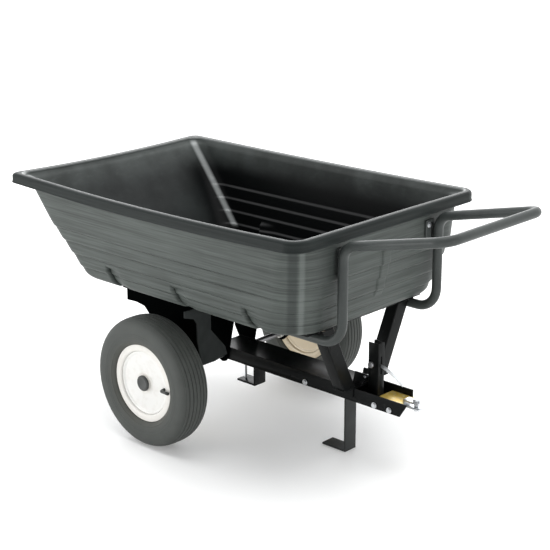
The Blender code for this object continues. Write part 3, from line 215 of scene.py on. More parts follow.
lamp("overhead", "SUN", (-0.2, 0.3, 4.0), (0.0, 0.0, 0.3), 1.7, angle=math.radians(46))
for name, place, aim, energy, width, height in (
        ("left", (-2.2, -3.4, 0.9), (0.0, -0.4, 0.5), 46.0, 1.8, 1.0),
        ("right", (3.6, -0.4, 0.9), (0.4, 0.0, 0.5), 17.0, 1.6, 1.0),
        ("back", (-2.9, 3.1, 2.3), (0.0, 0.0, 0.8), 46.0, 3.6, 1.8)):
    lamp(f"softbox_{name}", "AREA", place, aim, energy, shape="RECTANGLE", size=width, size_y=height)


# The axle.
# A plain steel bar through the drawbar and the brackets, with a painted spacer tube between each
# bracket and its wheel, and a nylon bush in each bracket's eye. The wheels turn on its ends.

AXLE = Vector((-0.19425, 0.0, 0.2032))
AXLE_RADIUS = 0.0095
WHEEL_Y = 0.3612
AXLE_OVERHANG = 0.035


def surface(name, *grids):
    """One mesh over grids of points, where each cell between two rows and two columns is a face.

    Points that fall together are one, which closes seams and poles, and faces are turned outwards.
    """
    points, faces, total = [], [], 0
    for grid in grids:
        flat = np.round(grid.reshape(-1, 3), 7) + 0.0
        kept, number = np.unique(flat, axis=0, return_inverse=True)
        number = number.reshape(grid.shape[:2])
        cells = np.stack([number[:-1, :-1], number[:-1, 1:], number[1:, 1:], number[1:, :-1]], -1)
        cells = cells.reshape(-1, 4)
        same = cells == np.roll(cells, -1, axis=1)
        quads = cells[same.sum(1) == 0]
        slivers = same.sum(1) == 1
        triangles = cells[slivers][~same[slivers]].reshape(-1, 3)
        corners = np.concatenate([quads[:, :3], quads[:, [0, 2, 3]], triangles])
        a, b, c = (kept[corners[:, i]] - kept.mean(0) for i in range(3))
        if (a * np.cross(b, c)).sum() < 0.0:
            quads, triangles = quads[:, ::-1], triangles[:, ::-1]
        faces += (quads + total).tolist() + (triangles + total).tolist()
        points.append(kept)
        total += len(kept)
    mesh = bpy.data.meshes.new(name)
    mesh.from_pydata(np.concatenate(points).tolist(), [], faces)
    thing = bpy.data.objects.new(name, mesh)
    bpy.context.scene.collection.objects.link(thing)
    return thing


def lathe(centre, direction, radii, heights, count=48):
    """Rings about an axis: centre + height x direction + radius x (cos a, sin a) across it.

    radii is one number for each height, or a row of them, one for each angle.
    """
    along = np.array(Vector(direction).normalized())
    across = np.cross(along, (0.0, 0.0, 1.0) if abs(along[2]) < 0.9 else (1.0, 0.0, 0.0))
    across /= np.linalg.norm(across)
    up = np.cross(along, across)
    angles = np.linspace(0.0, 2 * math.pi, count + 1)
    radii = np.broadcast_to(np.asarray(radii, float).reshape(len(heights), -1), (len(heights), count + 1))
    ring = np.cos(angles)[:, None] * across + np.sin(angles)[:, None] * up
    grid = np.array(centre) + np.asarray(heights, float)[:, None, None] * along + radii[..., None] * ring
    grid[:, -1] = grid[:, 0]
    return grid


def bar(centre, direction, radius, half, ease, count):
    """A round bar with eased ends, half its length to each side of its centre."""
    return lathe(centre, direction, [0.0, radius - ease, radius, radius, radius - ease, 0.0],
                 [-half, -half, -half + ease, half - ease, half, half], count)


def tube(centre, direction, bore, radius, half, ease, count=48):
    """A round tube with eased outer ends, half its length to each side of its centre."""
    return lathe(centre, direction, [bore, radius - ease, radius, radius, radius - ease, bore, bore],
                 [-half, -half, -half + ease, half - ease, half, half, -half], count)


def fit(thing, finish, body, slot, *nodes, sharp=30.0):
    """Give a piece its finish, set it on its body, and let it stand for its CAD nodes."""
    thing.data.materials.clear()
    thing.data.materials.append(finish.material)
    thing.data.shade_smooth()
    if sharp:
        thing.data.set_sharp_from_angle(angle=math.radians(sharp))
    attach(thing, body)
    if nodes:
        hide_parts(*nodes)


bare_steel = Finish("bare_steel", metallic=1.0)
turning = bare_steel.noise(60.0, (1.0, 14.0, 1.0))
bare_steel.set(base_color=bare_steel.mix(turning, (0.30, 0.30, 0.31), (0.50, 0.50, 0.51)),
               roughness=0.28 + turning * 0.22)
bare_steel.relief(turning, 0.00004)

gloss_black = Finish("gloss_black", specular_ior_level=0.08)
peel = gloss_black.noise(520.0, detail=1.0)
cloud = gloss_black.noise(14.0, detail=4.0)
wear_and_sheen = gloss_black.noise(90.0, (1.0, 1.0, 0.35), 5.0).rise(0.62, 0.74) * cloud
gloss_black.set(base_color=gloss_black.mix(wear_and_sheen * 0.5 + cloud * 0.12, (0.0045, 0.0050, 0.0050),
                                           (0.050, 0.054, 0.053)),
                roughness=0.22 + cloud * 0.16 + wear_and_sheen * 0.2)
gloss_black.relief(peel, 0.00005)

nylon = Finish("nylon", roughness=0.5)
nylon.set(base_color=nylon.mix(nylon.noise(70.0), (0.66, 0.65, 0.60), (0.76, 0.75, 0.70)))
nylon.relief(nylon.noise(400.0), 0.00003)

fit(surface("axle_bar", bar(AXLE, (0, 1, 0), AXLE_RADIUS, WHEEL_Y + AXLE_OVERHANG, 0.0012, 40)),
    bare_steel, "chassis", "plain_steel", "axle")
for name in ("right", "left"):
    for node, piece, gap, ease, finish, body, slot in (
            ("axle_spacer", "spacer_tube", 0.0004, 0.0007, gloss_black, "chassis", "black_paint"),
            ("axle_bush", "bracket_bush", 0.0005, 0.0006, nylon, "tipping_body", "nylon")):
        low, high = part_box(f"{node}_{name}")
        fit(surface(f"{piece}_{name}", tube((low + high) / 2, (0, 1, 0), AXLE_RADIUS + gap,
                                            (high.z - low.z) / 2, (high.y - low.y) / 2, ease, 40)),
            finish, body, slot, f"{node}_{name}")


# The wheels.
# A ribbed 16 inch tyre on a steel rim of two pressed flanges, with a dished disc welded in each side,
# a hub tube with its bush, a push-on hub cap and a rubber valve that reaches over the rim.

TYRE_RADIUS = 0.2032
TYRE_HALF = 0.0540
SHOULDER_RADIUS = 0.1612
FLANGE_RADIUS = 0.1210
BEAD_HALF = 0.0367


def tyre_section():
    """The tyre's outline in (radius, height), round the outside and back through the hollow.

    Above the shoulder it is a superellipse of power 3, below it a quarter ellipse down to the bead.
    Grooves and rings are smooth notches and ridges taken from the radius or added to the height.
    """
    turn = np.linspace(0.0, math.pi / 2, 150)
    height = TYRE_HALF * np.sin(turn) ** (2 / 3)
    radius = SHOULDER_RADIUS + (TYRE_RADIUS - SHOULDER_RADIUS) * np.cos(turn) ** (2 / 3)
    for groove, width, depth in ((0.0075, 0.0026, 0.0035), (0.0205, 0.0026, 0.0035),
                                 (0.0335, 0.0022, 0.0028), (0.0425, 0.0016, 0.0012)):
        radius = radius - depth * np.clip(1.3 - np.abs(height - groove) / (width / 2), 0.0, 1.0)
    drop = np.linspace(0.02, 1.0, 60)
    foot = FLANGE_RADIUS + 0.0008
    lower_radius = SHOULDER_RADIUS - (SHOULDER_RADIUS - foot) * drop
    lower_height = BEAD_HALF + (TYRE_HALF - BEAD_HALF) * np.sqrt(np.clip(1 - drop ** 2.4, 0.0, 1.0))
    for ring, width, rise in ((0.1555, 0.0020, 0.0007), (0.1480, 0.0014, 0.0005),
                              (0.1335, 0.0030, 0.0012)):
        lower_height = lower_height + rise * np.exp(-((lower_radius - ring) / (width / 2)) ** 2)
    outer = np.concatenate([np.stack([radius, height], 1), np.stack([lower_radius, lower_height], 1)])
    bead = np.array([(0.1065, BEAD_HALF - 0.0006), (0.1022, BEAD_HALF - 0.0045),
                     (0.1020, BEAD_HALF - 0.0120), (0.1300, 0.0400), (0.1620, 0.0450), (0.1860, 0.0330),
                     (0.1920, 0.0)])
    half = np.concatenate([outer, bead])
    other = half[::-1] * (1, -1)
    return np.concatenate([half, other[1:], half[:1]])


def from_axle(x, z):
    """How far a place on a piece is from the axle's line: the root of x squared plus z squared."""
    return ((x - AXLE.x) ** 2 + (z - AXLE.z) ** 2).root()


rubber = Finish("rubber", ior=1.45)
x, _, z = rubber.axes()
reach = from_axle(x, z)
grain = rubber.noise(300.0, detail=2.0)
dust = rubber.noise(26.0, detail=5.0)
bead_dirt = reach.rise(0.150, 0.122) * rubber.noise(40.0, detail=4.0)
bands = (reach * 2600.0).wave() * 0.5 + 0.5
tone = dust * 0.55 + bands * 0.12 + grain * 0.15
shade = rubber.mix(tone, (0.030, 0.034, 0.031), (0.094, 0.100, 0.093))
rubber.set(base_color=rubber.mix(bead_dirt * 0.5, shade, (0.115, 0.105, 0.085)), roughness=0.62 + dust * 0.25)
rubber.relief(grain * 0.5 + dust * 0.3 + bands * 0.25, 0.00025)

white_enamel = Finish("white_enamel", coat_weight=0.3, coat_roughness=0.12)
x, y, z = white_enamel.axes()
reach = from_axle(x, z)
grime = white_enamel.noise(45.0, detail=6.0).rise(0.45, 0.8)
# Painted shade: a warm darker band from the disc's edge out over the rim's flange, and another round the hub.
painted_shade_rings = reach.rise(0.094, 0.104) * 0.55 + reach.rise(0.039, 0.029) * 0.5
inward = (y * y).root().rise(0.345, 0.330)
shade = white_enamel.mix(painted_shade_rings * 0.6, (0.75, 0.745, 0.72), (0.64, 0.59, 0.52))
shade = white_enamel.mix(inward, shade, (0.66, 0.55, 0.38))
white_enamel.set(base_color=white_enamel.mix(grime * 0.22, shade, (0.52, 0.47, 0.40)),
                 roughness=0.30 + grime * 0.25)
white_enamel.relief(white_enamel.noise(380.0, detail=1.0), 0.00004)

black_plastic = Finish("black_plastic", ior=1.46)
speckle = black_plastic.noise(600.0, detail=1.0)
black_plastic.set(base_color=black_plastic.mix(black_plastic.noise(40.0), (0.022, 0.024, 0.023),
                                               (0.060, 0.063, 0.060)),
                  roughness=0.42 + speckle * 0.15)
black_plastic.relief(speckle, 0.00006)


def smooth(value):
    """0 below 0, 1 above 1, and 3 t^2 - 2 t^3 between."""
    value = np.clip(value, 0.0, 1.0)
    return value * value * (3 - 2 * value)


def sheet_ring(radii, heights, sheet):
    """A turned sheet's closed section: its outer line, then the same line one thickness lower."""
    return (np.concatenate([radii, radii[::-1], radii[:1]]),
            np.concatenate([heights, heights[::-1] - sheet, heights[:1]]))


section = tyre_section()
for name, side in (("right", -1), ("left", 1)):
    body = f"wheel_{name}"
    centre = AXLE + Vector((0.0, side * WHEEL_Y, 0.0))
    outward = (0, side, 0)
    fit(surface(f"tyre_casing_{name}", lathe(centre, outward, *section.T, count=144)),
        rubber, body, "tyre_rubber", f"tyre_{name}", sharp=40.0)
    # The rim: well, bead seats and two rolled flanges, from one flange's lip to the other and back.
    half = np.array([(0.0896, 0.0), (0.0896, 0.0105), (0.0915, 0.0130), (0.0985, 0.0175), (0.1012, 0.0190),
                     (0.1016, 0.0210), (0.1016, 0.0325), (0.1026, 0.0350), (0.1050, 0.0368), (0.1150, 0.0370),
                     (0.1188, 0.0368), (0.1207, 0.0374), (0.1210, 0.0386), (0.1203, 0.0394), (0.1180, 0.0395),
                     (0.1060, 0.0394), (0.1020, 0.0382), (0.0996, 0.0355), (0.0991, 0.0320), (0.0991, 0.0215),
                     (0.0984, 0.0200), (0.0955, 0.0180), (0.0885, 0.0150), (0.0871, 0.0115), (0.0871, 0.0)])
    whole = np.concatenate([half, half[::-1][1:] * (1, -1), half[:1]])
    fit(surface(f"rim_shell_{name}", lathe(centre, outward, *whole.T, count=112)),
        white_enamel, body, "white_paint", f"rim_{name}", sharp=40.0)
    # The discs: a flat ring, a shallow dish, and a raised seat round the hub.
    radii = np.linspace(0.0258, 0.0984, 60)
    face = 0.0335 - 0.0030 * smooth((0.0975 - radii) / 0.012) + 0.0022 * smooth((0.0385 - radii) / 0.008)
    face = face - 0.0007 * np.exp(-((radii - 0.0905) / 0.0016) ** 2)
    for disc, sign in (("outer", 1), ("inner", -1)):
        around, heights = sheet_ring(radii, face, 0.0025)
        fit(surface(f"dished_disc_{disc}_{name}", lathe(centre, outward, around, heights * sign, 96)),
            white_enamel, body, "white_paint", f"disc_{disc}_{name}")
    fit(surface(f"hub_tube_{name}", tube(centre, outward, 0.0225, 0.0255, 0.036, 0.0006)),
        white_enamel, body, "white_paint", f"hub_{name}")
    fit(surface(f"hub_bush_{name}", tube(centre, outward, AXLE_RADIUS + 0.0006, 0.0219, 0.035, 0.0006)),
        bare_steel, body, "plain_steel", f"wheel_bush_{name}")
    turn = np.linspace(0.0, math.pi / 2, 12)
    crown = np.stack([0.0195 + 0.0050 * np.cos(turn), 0.0396 + 0.0040 * np.sin(turn)], 1)
    cap = np.array([(0.0225, 0.0363), (0.0243, 0.0363), (0.0245, 0.0368), *crown, (0.0175, 0.04362),
                    (0.0168, 0.0430), (0.0, 0.0427), (0.0, 0.0413), (0.0200, 0.0413), (0.0220, 0.0396),
                    (0.0225, 0.0363)])
    fit(surface(f"push_cap_{name}", lathe(centre, outward, *cap.T, count=56)),
        black_plastic, body, "black_plastic", f"hub_cap_{name}", sharp=45.0)


# The valves.
# A rubber stem comes through each outer disc, bends outwards over the rim, and ends in a ribbed cap.

def follow(path, radii, count):
    """A round section of the given radii carried along a path, with its two ends closed.

    Each ring is the path's point + radius x (cos a, sin a) across the path. The ring's first
    direction is carried from one station to the next without twist.
    """
    path = np.asarray(path, float)
    steps = np.diff(path, axis=0)
    steps /= np.linalg.norm(steps, axis=1)[:, None]
    runs = np.concatenate([steps[:1], steps[:-1] + steps[1:], steps[-1:]])
    runs /= np.linalg.norm(runs, axis=1)[:, None]
    first = np.cross(runs[0], (0.0, 0.0, 1.0) if abs(runs[0][2]) < 0.9 else (0.0, 1.0, 0.0))
    across = [first / np.linalg.norm(first)]
    for run in runs[1:]:
        carried = across[-1] - run * (across[-1] @ run)
        across.append(carried / np.linalg.norm(carried))
    across = np.array(across)
    up = np.cross(runs, across)
    angles = np.linspace(0.0, 2 * math.pi, count + 1)
    radii = np.broadcast_to(np.asarray(radii, float).reshape(-1, 1, 1), (len(path), 1, 1))
    grid = (path[:, None] + radii * np.cos(angles)[:, None] * across[:, None]
            + radii * np.sin(angles)[:, None] * up[:, None])
    grid[:, -1] = grid[:, 0]
    ends = [np.broadcast_to(path[i], (1, count + 1, 3)) for i in (0, -1)]
    return np.concatenate([ends[0], grid, ends[1]])


def bent(corners, radii, steps):
    """A path through corner points with a circular arc of the given radius at each inner one."""
    path = [Vector(corners[0])]
    for i, radius in enumerate(radii, start=1):
        before, here, after = (Vector(corners[i + k]) for k in (-1, 0, 1))
        incoming = (here - before).normalized()
        outgoing = (after - here).normalized()
        turn = incoming.angle(outgoing)
        side = (outgoing - incoming * incoming.dot(outgoing)).normalized()
        centre = here - incoming * radius * math.tan(turn / 2) + side * radius
        path += [centre - side * radius * math.cos(angle) + incoming * radius * math.sin(angle)
                 for angle in (turn * k / steps for k in range(steps + 1))]
    return np.array([*path, Vector(corners[-1])])


def resampled(path, gap):
    """The same path with a point about every gap along it, and how far along it each point is."""
    lengths = np.concatenate([[0.0], np.cumsum(np.linalg.norm(np.diff(path, axis=0), axis=1))])
    spots = np.linspace(0.0, lengths[-1], max(int(lengths[-1] / gap), 2) + 1)
    return np.stack([np.interp(spots, lengths, path[:, i]) for i in range(3)], 1), spots


for name, side in (("right", -1), ("left", 1)):
    hub = AXLE + Vector((0.0, side * WHEEL_Y, 0.0))
    corners = [hub + Vector((out, side * over, 0.0))
               for out, over in ((0.086, 0.0235), (0.086, 0.0465), (0.120, 0.0465))]
    path, run = resampled(bent(corners, [0.007], 8), 0.0008)
    left = run[-1] - run
    radii = np.interp(run, [0.0, 0.008, 0.012, 0.030], [0.0055, 0.0055, 0.0048, 0.0044])
    radii = np.where(left < 0.0125, 0.0047 + 0.00022 * np.cos(left * 2 * math.pi / 0.0016), radii)
    radii = np.where(left < 0.0012, 0.0040, radii)
    fit(surface(f"valve_stem_{name}", follow(path, radii, 20)), black_plastic, f"wheel_{name}",
        "black_plastic", f"valve_{name}", sharp=50.0)


# The drawbar, the stand and the step.
# The drawbar is one folded channel that the axle passes through, with a lid welded in from its rear to
# the saddle's front. A flat strap stands under it as a leg with a foot, and a shorter one makes the
# step. The drawbar and step are gloss black, and the leg is a duller black.

def eased(node, radius):
    """A copy of a CAD solid with its edges rounded, and its sheet metal folds as wide as they are bent.

    radius is a number, or a function of an edge's middle and direction that gives its radius.
    """
    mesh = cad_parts[node].data.copy()
    bm = bmesh.new()
    bm.from_mesh(mesh)
    bmesh.ops.remove_doubles(bm, verts=bm.verts, dist=0.000002)
    bmesh.ops.dissolve_limit(bm, angle_limit=math.radians(0.3), verts=bm.verts, edges=bm.edges)
    weights = bm.edges.layers.float.new("bevel_weight_edge")
    wanted = {}
    for edge in bm.edges:
        if len(edge.link_faces) == 2 and edge.calc_face_angle(0.0) > math.radians(35):
            middle = (edge.verts[0].co + edge.verts[1].co) / 2
            run = (edge.verts[1].co - edge.verts[0].co).normalized()
            wanted[edge] = radius(middle, run) if callable(radius) else radius
    widest = max(wanted.values())
    for edge, value in wanted.items():
        edge[weights] = value / widest
    bm.to_mesh(mesh)
    bm.free()
    thing = bpy.data.objects.new(f"{node}_eased", mesh)
    bpy.context.scene.collection.objects.link(thing)
    bevel = thing.modifiers.new("eased", "BEVEL")
    bevel.width = widest
    bevel.segments = 3
    bevel.limit_method = "WEIGHT"
    bevel.harden_normals = True
    return thing


def fit_eased(node, radius, finish, body, slot="black_paint"):
    """A CAD solid with eased edges, in its finish and on its body, that stands for its own node."""
    fit(eased(node, radius), finish, body, slot, node, sharp=None)


def tongue_fold(middle, run):
    """The channel's two bends run along X at its foot: 5 mm outside and 2 mm inside."""
    if abs(run.x) > 0.9 and middle.z < 0.196:
        return 0.0045 if middle.z < 0.191 else 0.0018
    return 0.0006


strap_black = Finish("strap_black", specular_ior_level=0.2)
wear = strap_black.noise(20.0, detail=4.0)
strap_black.set(base_color=strap_black.mix(wear, (0.010, 0.011, 0.011), (0.042, 0.046, 0.044)),
                roughness=0.32 + wear * 0.2)

fit_eased("tongue", tongue_fold, gloss_black, "chassis")
fit_eased("stand_leg", 0.0009, strap_black, "chassis")
fit_eased("step_bracket", 0.0009, gloss_black, "chassis")


# The latch.
# A slotted channel post on the drawbar holds a bright lever on a headed pin. A small coil spring round
# the pin pulls the lever's claw over the striker pin of the tub's struts.

bright_zinc = Finish("bright_zinc", metallic=1.0)
patch = bright_zinc.noise(38.0, detail=5.0)
bright_zinc.set(base_color=bright_zinc.mix(patch, (0.46, 0.48, 0.50), (0.80, 0.81, 0.82)),
                roughness=0.20 + patch * 0.26)
bright_zinc.relief(bright_zinc.noise(420.0, detail=2.0), 0.00006)

fit_eased("latch_post", 0.0006, gloss_black, "chassis")
fit_eased("latch_lever", 0.0011, bright_zinc, "latch_lever", "bright_zinc")

PIVOT = Vector((AXLE.x + 0.571, 0.0, 0.303))
pin = np.array([(0.0, 0.018), (0.0032, 0.018), (0.0040, 0.0172), (0.0040, -0.0143), (0.0100, -0.0143),
                (0.0100, -0.0178), (0.0095, -0.0190), (0.0082, -0.0203), (0.0050, -0.0209), (0.0, -0.0210)])
fit(surface("pivot_pin", lathe(PIVOT, (0, 1, 0), *pin.T, count=40)), bare_steel, "chassis",
    "plain_steel", "latch_pivot_pin")

SPRING_RADIUS, SPRING_WIRE, SPRING_TURNS = 0.0058, 0.0008, 3
SPRING_ENDS, SPRING_LEG = (0.0038, 0.0102), 0.006
angle = np.linspace(0.0, 2 * math.pi * SPRING_TURNS, 109)
coil = np.stack([SPRING_RADIUS * np.cos(angle), np.interp(angle, [0.0, angle[-1]], SPRING_ENDS),
                 SPRING_RADIUS * np.sin(angle)], 1)
coil = np.concatenate([[(SPRING_RADIUS, SPRING_ENDS[0], -SPRING_LEG)], coil,
                       [(SPRING_RADIUS, SPRING_ENDS[1], SPRING_LEG)]]) + np.array(PIVOT)
fit(surface("coil_spring", follow(coil, SPRING_WIRE, 10)), bare_steel, "chassis", "plain_steel",
    "latch_spring", sharp=None)


# The hitch.
# A folded plate with a yellow zinc finish is bolted between the drawbar's sides, and a bright forked
# clevis on its front takes the tractor's drawbar and a dropped pin with a wide head.

yellow_zinc = Finish("yellow_zinc", metallic=0.35)
stain = yellow_zinc.noise(30.0, detail=5.0)
# Pale patches at random: partly zinc bloom, partly painted highlights.
bloom_and_glint = yellow_zinc.noise(75.0, detail=3.0, offset=(3.0, 1.0, 0.0)).rise(0.5, 0.7)
straw = yellow_zinc.mix(stain, (0.70, 0.43, 0.05), (0.95, 0.73, 0.20))
yellow_zinc.set(base_color=yellow_zinc.mix(bloom_and_glint * 0.38, straw, (0.95, 0.90, 0.72)),
                roughness=0.22 + stain * 0.25)
yellow_zinc.relief(yellow_zinc.noise(260.0, detail=2.0), 0.0001)

fit_eased("hitch_plate", 0.0012, yellow_zinc, "chassis", "yellow_zinc")
fit_eased("hitch_clevis", 0.0011, bright_zinc, "chassis", "bright_zinc")

pin = np.array([(0.0, 0.1955), (0.0036, 0.1955), (0.0050, 0.1968), (0.0060, 0.1987), (0.0060, 0.2268),
                (0.0092, 0.2268), (0.0100, 0.2276), (0.0100, 0.2308), (0.0092, 0.2319), (0.0075, 0.2327),
                (0.0, 0.2328)])
fit(surface("dropped_pin", lathe((AXLE.x + 0.728, 0.0, 0.0), (0, 0, 1), *pin.T)),
    bright_zinc, "hitch_pin", "bright_zinc", "hitch_pin")


# The fasteners.
# Every bolt is an 8 mm hexagon bolt, zinc plated, with a flange under its head and a nut. The tub's
# floor has round-headed bolts instead, so that a shovel doesn't catch on them.

FLAT = 0.0065
SHANK = 0.0040
SEAT = 0.0003
THREAD_PITCH = 0.00125
DRAWBAR_BOLT_HEIGHT = 0.2000
WEB_TOP = 0.193
ROUND, SIX_SIDED, THREADED = 0, 1, 2


def fastener(place, direction, grip, dome=False, thread=0.0):
    """A bolt and nut about a line, with 48 points round it and heights along it.

    A hexagon's radius at an angle is flat / cos(angle from the middle of its side), cut down by a cone
    at its chamfers. The thread is a wave in height less angle. Each row is a height from the head's
    seat, the greatest radius there and its kind, from the head's top to the bolt's end.
    """
    angles = np.linspace(0.0, 2 * math.pi, 49)
    hexagon = FLAT / np.cos((angles + math.pi / 6) % (math.pi / 3) - math.pi / 6)
    nut = -grip - SEAT
    rows = [(0.0053, 0.0, ROUND), (0.0053, 0.0055, ROUND), (0.0053, 0.0061, SIX_SIDED),
            (0.0050, 0.0066, SIX_SIDED), (0.0047, 0.0070, SIX_SIDED), (0.0042, 0.0076, SIX_SIDED),
            (0.0017, 0.0076, SIX_SIDED), (0.0016, 0.0085, ROUND), (0.0011, 0.0090, ROUND),
            (SEAT, 0.0090, ROUND)]
    if dome:
        turn = np.linspace(math.pi / 2, 0.0, 9)
        rows = [(SEAT + 0.0042 * math.sin(t), 0.0088 * math.cos(t) if t < 1.57 else 0.0, ROUND) for t in turn]
    rows += [(SEAT, SHANK, ROUND), (nut, SHANK, ROUND), (nut, 0.0072, SIX_SIDED),
             (nut - 0.0004, 0.0076, SIX_SIDED), (nut - 0.0050, 0.0076, SIX_SIDED),
             (nut - 0.0055, 0.0072, SIX_SIDED), (nut - 0.0060, 0.0064, SIX_SIDED),
             (nut - 0.0060, 0.0041, ROUND)]
    tail = nut - np.linspace(0.0060, 0.0085, 12)
    rows += [(height, 0.0, THREADED) for height in tail]
    rows += [(nut - 0.0090, 0.0030, ROUND), (nut - 0.0090, 0.0, ROUND)]
    if thread:
        exposed = [(height, 0.0, THREADED) for height in np.linspace(0.0, -thread, int(thread / 0.00032))]
        rows = [row for row in rows if row[0] > 0.0] + exposed + [row for row in rows if row[0] <= nut]
    heights, limit, kind = np.array(rows).T[:, :, None]
    ridge = SHANK - 0.0002 + 0.0002 * np.cos(2 * math.pi * heights / THREAD_PITCH - angles)
    radii = np.where(kind == SIX_SIDED, np.minimum(hexagon, limit), np.where(kind == THREADED, ridge, limit))
    return lathe(place, direction, radii, heights[:, 0])


for number, x in enumerate((0.3480, 0.6170, 0.6720), start=1):
    place = Vector((AXLE.x + x, -0.055, DRAWBAR_BOLT_HEIGHT))
    fit(surface(f"drawbar_bolt_{number}", fastener(place, (0, -1, 0), 0.110)), bright_zinc, "chassis",
        "bright_zinc", f"tongue_bolt_{number}")
for node, x, z, grip, thread in (("stand_bolt", 0.455, WEB_TOP, 0.0093, 0.0),
                                 ("post_bolt", 0.578, 0.1958, 0.0058, 0.0),
                                 ("step_bolt", 0.045, WEB_TOP, 0.081, 0.081)):
    fit(surface(f"{node}_and_nut", fastener((AXLE.x + x, 0.0, z), (0, 0, 1), grip, thread=thread)),
        bright_zinc, "chassis", "bright_zinc", node)


# The handle frame.
# One tube, bent cold: two runs under the tub, two uprights in front of its end wall, two arms and the
# grip between them. Its rear ends are left open. The tub is bolted and the brackets welded to it.

TUBE_RADIUS = 0.0145
SPAN = 0.2165
BORE_DEPTH = 0.030
CROSS_BARS = (-0.24, 0.03, 0.52)
CROSS_BAR_FOOT = 0.4448

corners = [(-0.27, -SPAN, 0.43), (0.628, -SPAN, 0.43), (0.628, -SPAN, 0.717), (0.975, -SPAN, 0.796)]
corners += [(x, -y, z) for x, y, z in reversed(corners)]
corners = [(x + AXLE.x, y, z) for x, y, z in corners]
path, run = resampled(bent(corners, [0.066, 0.050, 0.040, 0.040, 0.050, 0.066], 16), 0.0085)
frame_tube = follow(path, TUBE_RADIUS, 28)[1:-1]


def open_end(ring, centre, inwards):
    """Rows that turn a tube's end into its bore: the ring shrunk by the wall, then carried inwards."""
    lip, edge, wall = (centre + (ring - centre) * share for share in (0.96, 0.90, 0.87))
    return [lip - inwards * 0.0004, edge, wall + inwards * 0.0006, wall + inwards * BORE_DEPTH,
            np.broadcast_to(centre + inwards * BORE_DEPTH, ring.shape)]


forwards = np.array([1.0, 0.0, 0.0])
head = open_end(frame_tube[0], path[0], forwards)
tail = open_end(frame_tube[-1], path[-1], forwards)
whole = np.concatenate([np.stack(head[::-1]), frame_tube, np.stack(tail)])
satin_black = Finish("satin_black", specular_ior_level=0.18)
cloud = satin_black.noise(12.0, detail=4.0)
flecks = satin_black.noise(260.0, detail=2.0)
satin_black.set(base_color=satin_black.mix(cloud * 0.7 + flecks * 0.3, (0.024, 0.028, 0.027),
                                           (0.074, 0.082, 0.079)),
                roughness=0.30 + cloud * 0.14)
satin_black.relief(flecks, 0.00006)
fit(surface("bent_tube", whole), satin_black, "tipping_body", "black_paint", "handle_frame", sharp=45.0)

for number in (1, 2, 3):
    fit_eased(f"cross_bar_{number}", 0.0010, gloss_black, "tipping_body")


# What hangs from the tube runs and the cross bars.
# Side brackets cut from plate, with a T-shaped plate welded across their front, turn on the axle.
# Tapered plates hang beside the drawbar, and two channels, open to the rear, lean in to the saddle,
# which straddles the drawbar and carries the striker pin. Plates behind the uprights hold the tub.

STRUT_X = AXLE.x + CROSS_BARS[-1]
BRACKET_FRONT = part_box("axle_bracket_left")[1].x
RIPPLE, BEAD_STEP, BEAD_TAPER = 0.0016, 0.0004, 0.002


def strut_fold(middle, run):
    """The channel's two bends run down it, on its front side: 4 mm outside and 1 mm inside."""
    if abs(run.z) > 0.7 and middle.x > STRUT_X + 0.008:
        return 0.0036 if middle.x > STRUT_X + 0.019 else 0.0010
    return 0.0006


# Painted shade: the brackets and centre plates under the tub are painted near black without sheen. Their
# foremost few millimetres, the T-shaped plate's front, are painted lighter as lit.
shade_painted_black = Finish("shade_painted_black", specular_ior_level=0.0)
dust = shade_painted_black.noise(30.0, detail=4.0)
front = shade_painted_black.axes()[0].rise(BRACKET_FRONT - 0.0062, BRACKET_FRONT - 0.0040)
shade_painted_black.set(base_color=shade_painted_black.mix(front * (0.6 + dust * 0.4), (0.0014, 0.0018, 0.0018),
                                           (0.040, 0.044, 0.043)),
                roughness=0.34 + dust * 0.2)

for name in ("left", "right"):
    fit_eased(f"handle_clamp_{name}", 0.0009, satin_black, "tipping_body")
    fit_eased(f"axle_bracket_{name}", 0.0008, shade_painted_black, "tipping_body")
    fit_eased(f"centre_plate_{name}", 0.0008, shade_painted_black, "tipping_body")
    fit_eased(f"strut_{name}", strut_fold, gloss_black, "tipping_body")
fit_eased("latch_saddle", 0.0007, gloss_black, "tipping_body")


def beads(name, body, *runs):
    """Weld beads: a round section along each straight run, whose radius ripples every 1.6 mm.

    Each run is its two ends and its radius. The radius is r (0.88 + 0.12 |sin|), and falls to 0 at the ends.
    """
    grids = []
    for start, end, radius in runs:
        start, end = (np.array(place, float) + (AXLE.x, 0.0, 0.0) for place in (start, end))
        length = np.linalg.norm(end - start)
        along = np.linspace(0.0, length, max(int(length / BEAD_STEP), 12))
        swell = np.sqrt(np.clip(np.minimum(along, length - along) / BEAD_TAPER, 0.04, 1.0))
        ripple = 0.88 + 0.12 * np.abs(np.sin(math.pi * along / RIPPLE))
        grids.append(follow(start + (end - start) * (along / length)[:, None], radius * swell * ripple, 10))
    fit(surface(name, *grids), gloss_black, body, "black_paint", sharp=None)


# The beads join the brackets and the cross bars to the tube runs, the struts' feet to the saddle, the
# clamps to the uprights, and the latch's post to its base plate.
runs = []
for side in (-1, 1):
    for edge in (-1, 1):
        y = side * SPAN + edge * 0.0125
        runs += [((x, y, 0.4158), (x + 0.034, y, 0.4158), 0.0024) for x in (-0.255, -0.150, -0.040, 0.058)]
    runs.append(((0.5405, side * 0.052, 0.2364), (0.5405, side * 0.100, 0.2364), 0.0016))
    runs.append(((0.524, side * 0.1018, 0.2368), (0.504, side * 0.1018, 0.2368), 0.0014))
    for x in CROSS_BARS:
        for edge in (-0.0175, 0.0175):
            near, far = ((x + edge, side * (SPAN + over), CROSS_BAR_FOOT) for over in (-0.009, 0.009))
            runs.append((near, far, 0.0016))
    runs.append(((0.6135, side * 0.2030, 0.632), (0.6135, side * 0.2030, 0.702), 0.0018))
beads("frame_welds", "tipping_body", *runs)
beads("post_welds", "chassis", ((0.5975, -0.012, 0.1962), (0.5975, 0.012, 0.1962), 0.0016),
      *(((0.594, y, 0.1962), (0.564, y, 0.1962), 0.0014) for y in (-0.0145, 0.0145)))
low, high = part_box("striker_pin")
